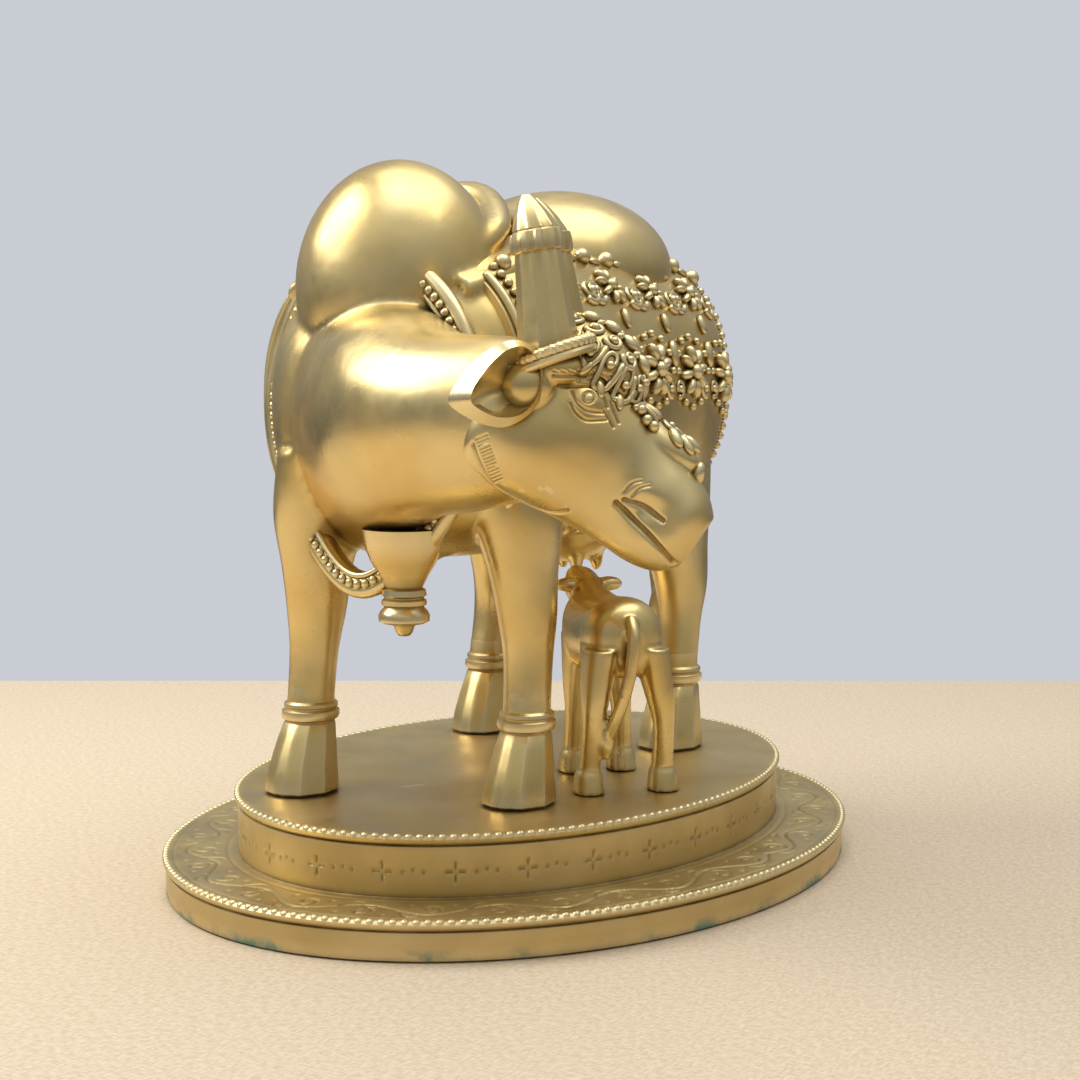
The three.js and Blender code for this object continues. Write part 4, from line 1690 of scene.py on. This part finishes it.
@dataclass
class Plinth:
    """The stepped oval plinth, with beaded rims and an engraved border."""

    long: float = 96.5
    wide: float = 75.4
    step: float = 16.5
    lower_top: float = 8.75
    top: float = PLINTH_TOP
    rim: float = 0.9
    points: int = 640

    def build(self) -> bpy.types.Object:
        """Makes the plinth and engraves it.

        Returns:
            The object.
        """
        draft = Draft()
        body = -self.rim
        inner = -self.step - self.rim
        profile = [
            (body - 3, 0.0), (body - 0.6, 0.0), (body, 0.5), (body, 3.5), (body, 6.0), (body - 0.05, 6.2), (body - 0.35, 6.4),
            (body - 0.1, 6.7), (-0.35, 7.3), (-0.15, 8.0), (-0.5, 8.5), (body - 0.4, self.lower_top),
        ]
        profile += [(float(k), self.lower_top) for k in np.linspace(body - 1.2, inner + 0.25, 20)]
        profile += [(inner, self.lower_top + 0.2)]
        profile += [(inner, float(k)) for k in np.linspace(self.lower_top + 0.8, self.top - 2.8, 13)]
        profile += [
            (inner - 0.05, self.top - 2.6), (inner - 0.4, self.top - 2.35), (inner - 0.1, self.top - 2.1),
            (inner + 0.55, self.top - 1.5), (inner + 0.7, self.top - 0.8), (inner + 0.4, self.top - 0.25), (inner - 0.5, self.top),
        ]
        profile += [(float(k), self.top) for k in np.linspace(inner - 2, -self.wide + 4, 24)]
        angle = np.linspace(0, 2 * np.pi, self.points, endpoint=False)
        rings = []
        for off, z in profile:
            x, y = (self.wide + off) * np.cos(angle), (self.long + off) * np.sin(angle)
            rings.append(np.column_stack([x, y, np.full(self.points, z)]))
        draft.loft(rings)
        plinth = draft.build("plinth_tiers")
        engrave(plinth, self.border() + self.crosses(), 1)
        return plinth

    def rims(self) -> bpy.types.Object:
        """Makes the bead rows of both rims.

        Returns:
            The object.
        """
        draft = Draft()
        for off, z in ((-0.95, self.lower_top - 0.55), (-self.step - self.rim + 0.0, self.top - 0.6)):
            tier = TierGround(self.long + off, self.wide + off, z)
            count = round(tier.girth / 2.35)
            for k in range(count):
                place, axes = tier.stand(k * tier.girth / count, 0)
                draft.ball(place, (0.98, 0.92, 0.86), axes, 10, 7)
        return draft.build("rim_beads")

    def border(self) -> list[Cut]:
        """The engraved scrolls on the lower tier.

        Returns:
            The cuts.
        """
        tier = TierGround(self.long, self.wide, self.lower_top)
        count = round(tier.girth / 15.5)
        pitch = tier.girth / count
        made = []
        for k in range(count):
            start = k * pitch
            hand = 1 if k % 2 else -1
            wave = [(start + pitch * w, 8.6 + hand * 3.0 * math.sin(math.pi * w)) for w in np.linspace(0, 1, 7)]
            t = np.linspace(0, 1, 9)
            curl = np.stack([
                start + pitch * 0.5 + 2.9 * (1 - 0.7 * t) * np.cos(hand * (1.5 - 5.5 * t)),
                8.6 - hand * 1.4 + 2.9 * (1 - 0.7 * t) * np.sin(hand * (1.5 - 5.5 * t)),
            ], 1)
            leaf = [(start + pitch * 0.08, 8.6 + hand * 1.5), (start + pitch * 0.2, 8.6 + hand * 4.4), (start + pitch * 0.34, 8.6 + hand * 4.8)]
            for path in (wave, curl, leaf):
                made.append(Cut(np.array([tier.place(a, b) for a, b in paced(path, 0.5)]), 0.34, 0.35))
            for dot in (0.15, 0.85):
                made.append(Cut(tier.place(start + pitch * dot, 8.6 - hand * 3.6), 0.5, 0.4))
        for b in (2.6, 14.9):
            ring = [tier.place(a, b) for a in np.linspace(0, tier.girth, 700)]
            made.append(Cut(np.array(ring), 0.28, 0.22))
        return made

    def crosses(self) -> list[Cut]:
        """The small flowers and dots engraved round the upper tier's side.

        Returns:
            The cuts.
        """
        off = -self.step - self.rim
        tier = TierGround(self.long + off, self.wide + off, 0, True)
        count = 28
        pitch = tier.girth / count
        middle = (self.lower_top + self.top - 2.6) / 2
        made = []
        for k in range(count):
            a = k * pitch
            for da, db in ((1.9, 0), (-1.9, 0), (0, 1.9), (0, -1.9)):
                made.append(Cut(np.array([tier.place(a + da * w, middle + db * w) for w in (0.35, 0.7, 1.0)]), 0.34, 0.35))
            for da in (4.4, 6.6, 8.8):
                made.append(Cut(tier.place(a + da, middle + (0.5 if da == 6.6 else 0)), 0.42, 0.3))
        return made


@dataclass
class Studio:
    """The pale table, the pale room light and the camera."""

    view: PhotoView
    table_back: float = 261.0

    def build(self) -> None:
        """Makes the table, the lights and the camera."""
        self.table()
        self.light()
        self.camera()

    def table(self) -> None:
        """Makes the cream cloth-covered table under the plinth."""
        right, _, back = self.view.axes()
        level = unit(np.array([back[0], back[1], 0]))
        corners = []
        for across, near in ((-900, -self.table_back), (900, -self.table_back), (900, 900), (-900, 900)):
            corners.append(right * across + level * near)
        draft = Draft()
        foot = [c + np.array([0, 0, -30.0]) for c in corners]
        draft.add(np.array(corners + foot), np.array([[0, 1, 2, 3], [7, 6, 5, 4], [0, 4, 5, 1], [1, 5, 6, 2], [2, 6, 7, 3], [3, 7, 4, 0]]))
        table = draft.build("table")
        b = Bench("cream_cloth")
        weave = b.noise(1.0, 2.0, 0.5, b.stretched((1500, 500, 1)))
        cross = b.noise(1.0, 2.0, 0.5, b.stretched((500, 1500, 1)))
        tone = b.blend(b.span(b.sum("ADD", weave, cross), 0.8, 1.2), (0.68, 0.53, 0.36), (0.80, 0.66, 0.48))
        bump = b.feed(b.node("ShaderNodeBump"), Height=b.sum("ADD", weave, cross), Strength=0.3, Distance=0.3 * MM)
        shader = b.feed(b.node("ShaderNodeBsdfPrincipled"), Base_Color=tone, Roughness=0.9, Normal=bump.outputs["Normal"])
        b.tree.links.new(shader.outputs["BSDF"], b.node("ShaderNodeOutputMaterial").inputs["Surface"])
        table.data.materials.append(b.metal)
        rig.stage(table)

    def light(self) -> None:
        """Sets the room's soft light and two large soft lamps."""
        world = bpy.data.worlds.new("room")
        bpy.context.scene.world = world
        world.use_nodes = True
        tree = world.node_tree
        tree.nodes.clear()
        where = tree.nodes.new("ShaderNodeTexCoord")
        split = tree.nodes.new("ShaderNodeSeparateXYZ")
        tree.links.new(where.outputs["Generated"], split.inputs[0])
        ramp = tree.nodes.new("ShaderNodeMapRange")
        ramp.inputs["From Min"].default_value = -0.1
        ramp.inputs["From Max"].default_value = 0.9
        ramp.inputs["To Min"].default_value = 0.16
        ramp.inputs["To Max"].default_value = 0.75
        tree.links.new(split.outputs["Z"], ramp.inputs["Value"])
        room = tree.nodes.new("ShaderNodeBackground")
        room.inputs["Color"].default_value = (0.93, 0.96, 1.0, 1)
        tree.links.new(ramp.outputs["Result"], room.inputs["Strength"])
        wall = tree.nodes.new("ShaderNodeBackground")
        wall.inputs["Color"].default_value = (0.585, 0.605, 0.655, 1)
        seen = tree.nodes.new("ShaderNodeLightPath")
        mix = tree.nodes.new("ShaderNodeMixShader")
        tree.links.new(seen.outputs["Is Camera Ray"], mix.inputs[0])
        tree.links.new(room.outputs[0], mix.inputs[1])
        tree.links.new(wall.outputs[0], mix.inputs[2])
        out = tree.nodes.new("ShaderNodeOutputWorld")
        tree.links.new(mix.outputs[0], out.inputs["Surface"])
        self.lamp("window", (-420, -260, 520), 420, 2.6, (1.0, 0.99, 0.97))
        self.lamp("ceiling", (60, 40, 620), 520, 1.6, (0.97, 0.99, 1.0))
        bpy.context.scene.view_settings.view_transform = "Standard"

    def lamp(self, name: str, place: tuple[float, float, float], size: float, power: float, colour: Colour) -> None:
        """Hangs a square soft lamp that faces the cow.

        Args:
            name: Its name.
            place: Where it hangs.
            size: Its side.
            power: Its power in watts.
            colour: Its light.
        """
        light = bpy.data.lights.new(name, "AREA")
        light.size = size * MM
        light.energy = power
        light.color = colour
        obj = bpy.data.objects.new(name, light)
        obj.location = Vector(place) * MM
        obj.rotation_euler = (Vector((0, 0, 0.09)) - obj.location).to_track_quat("-Z", "Y").to_euler()
        obj.visible_camera = False
        bpy.context.scene.collection.objects.link(obj)

    def camera(self) -> None:
        """Sets the camera where the photograph was taken."""
        data = bpy.data.cameras.new("camera")
        data.sensor_width = self.view.sensor
        data.lens = self.view.focal_px / self.view.frame_px * self.view.sensor
        data.clip_start = 0.01
        camera = bpy.data.objects.new("camera", data)
        camera.location = Vector(self.view.eye() * MM)
        camera.rotation_euler = (math.radians(90 - self.view.elevation_deg), 0, math.radians(self.view.azimuth_deg))
        bpy.context.scene.collection.objects.link(camera)
        bpy.context.scene.camera = camera


def main() -> None:
    """Builds the group piece by piece, and keeps both boxes for comparison."""
    logging.basicConfig(level=logging.INFO, format="%(message)s")
    figure = AgedBrass(name="figure_brass", spots=((-27, -46, 148, 9),))
    base = AgedBrass(name="plinth_brass", bright=(0.66, 0.52, 0.26), warm=(0.56, 0.42, 0.18), polish=0.34, dull=0.55, green_below=3.2)
    foundry = Foundry(figure.make(), base.make())

    plinth = Plinth()
    foundry.finish(plinth.build(), Slot.PLINTH, 40, "plinth")
    foundry.finish(plinth.rims(), Slot.PLINTH, 180)

    trunk = Trunk()
    body = CowBody(trunk)
    foundry.finish(body.build(), Slot.FIGURE, 180, "cow")
    foundry.finish(Hooves(body.feet).build(), Slot.FIGURE, 28)
    head = Head()
    skull = head.build()
    skin = Skin(skull)
    foundry.finish(skull, Slot.FIGURE, 180)
    horns, ears = HornsAndEars(head).build()
    foundry.finish(horns, Slot.FIGURE, 20)
    foundry.finish(ears, Slot.FIGURE, 24)
    foundry.finish(BrowOrnament(head, skin).build(), Slot.FIGURE, 180)
    collar = Collar()
    foundry.finish(collar.build(), Slot.FIGURE, 180)
    foundry.finish(collar.build_bell(), Slot.FIGURE, 40)
    cloth = SaddleCloth(trunk)
    foundry.finish(cloth.sheet(), Slot.FIGURE, 50)
    foundry.finish(cloth.relief(), Slot.FIGURE, 180)
    foundry.finish(Calf().build(), Slot.FIGURE, 180, "calf")

    Studio(PhotoView()).build()
    low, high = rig.bounds()
    boxes = {"cad": [list(CAD_BOX[0]), list(CAD_BOX[1])], "visual": [list(low), list(high)]}
    with open("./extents.json", "w") as file:
        json.dump(boxes, file)


if __name__ == "__main__":
    main()
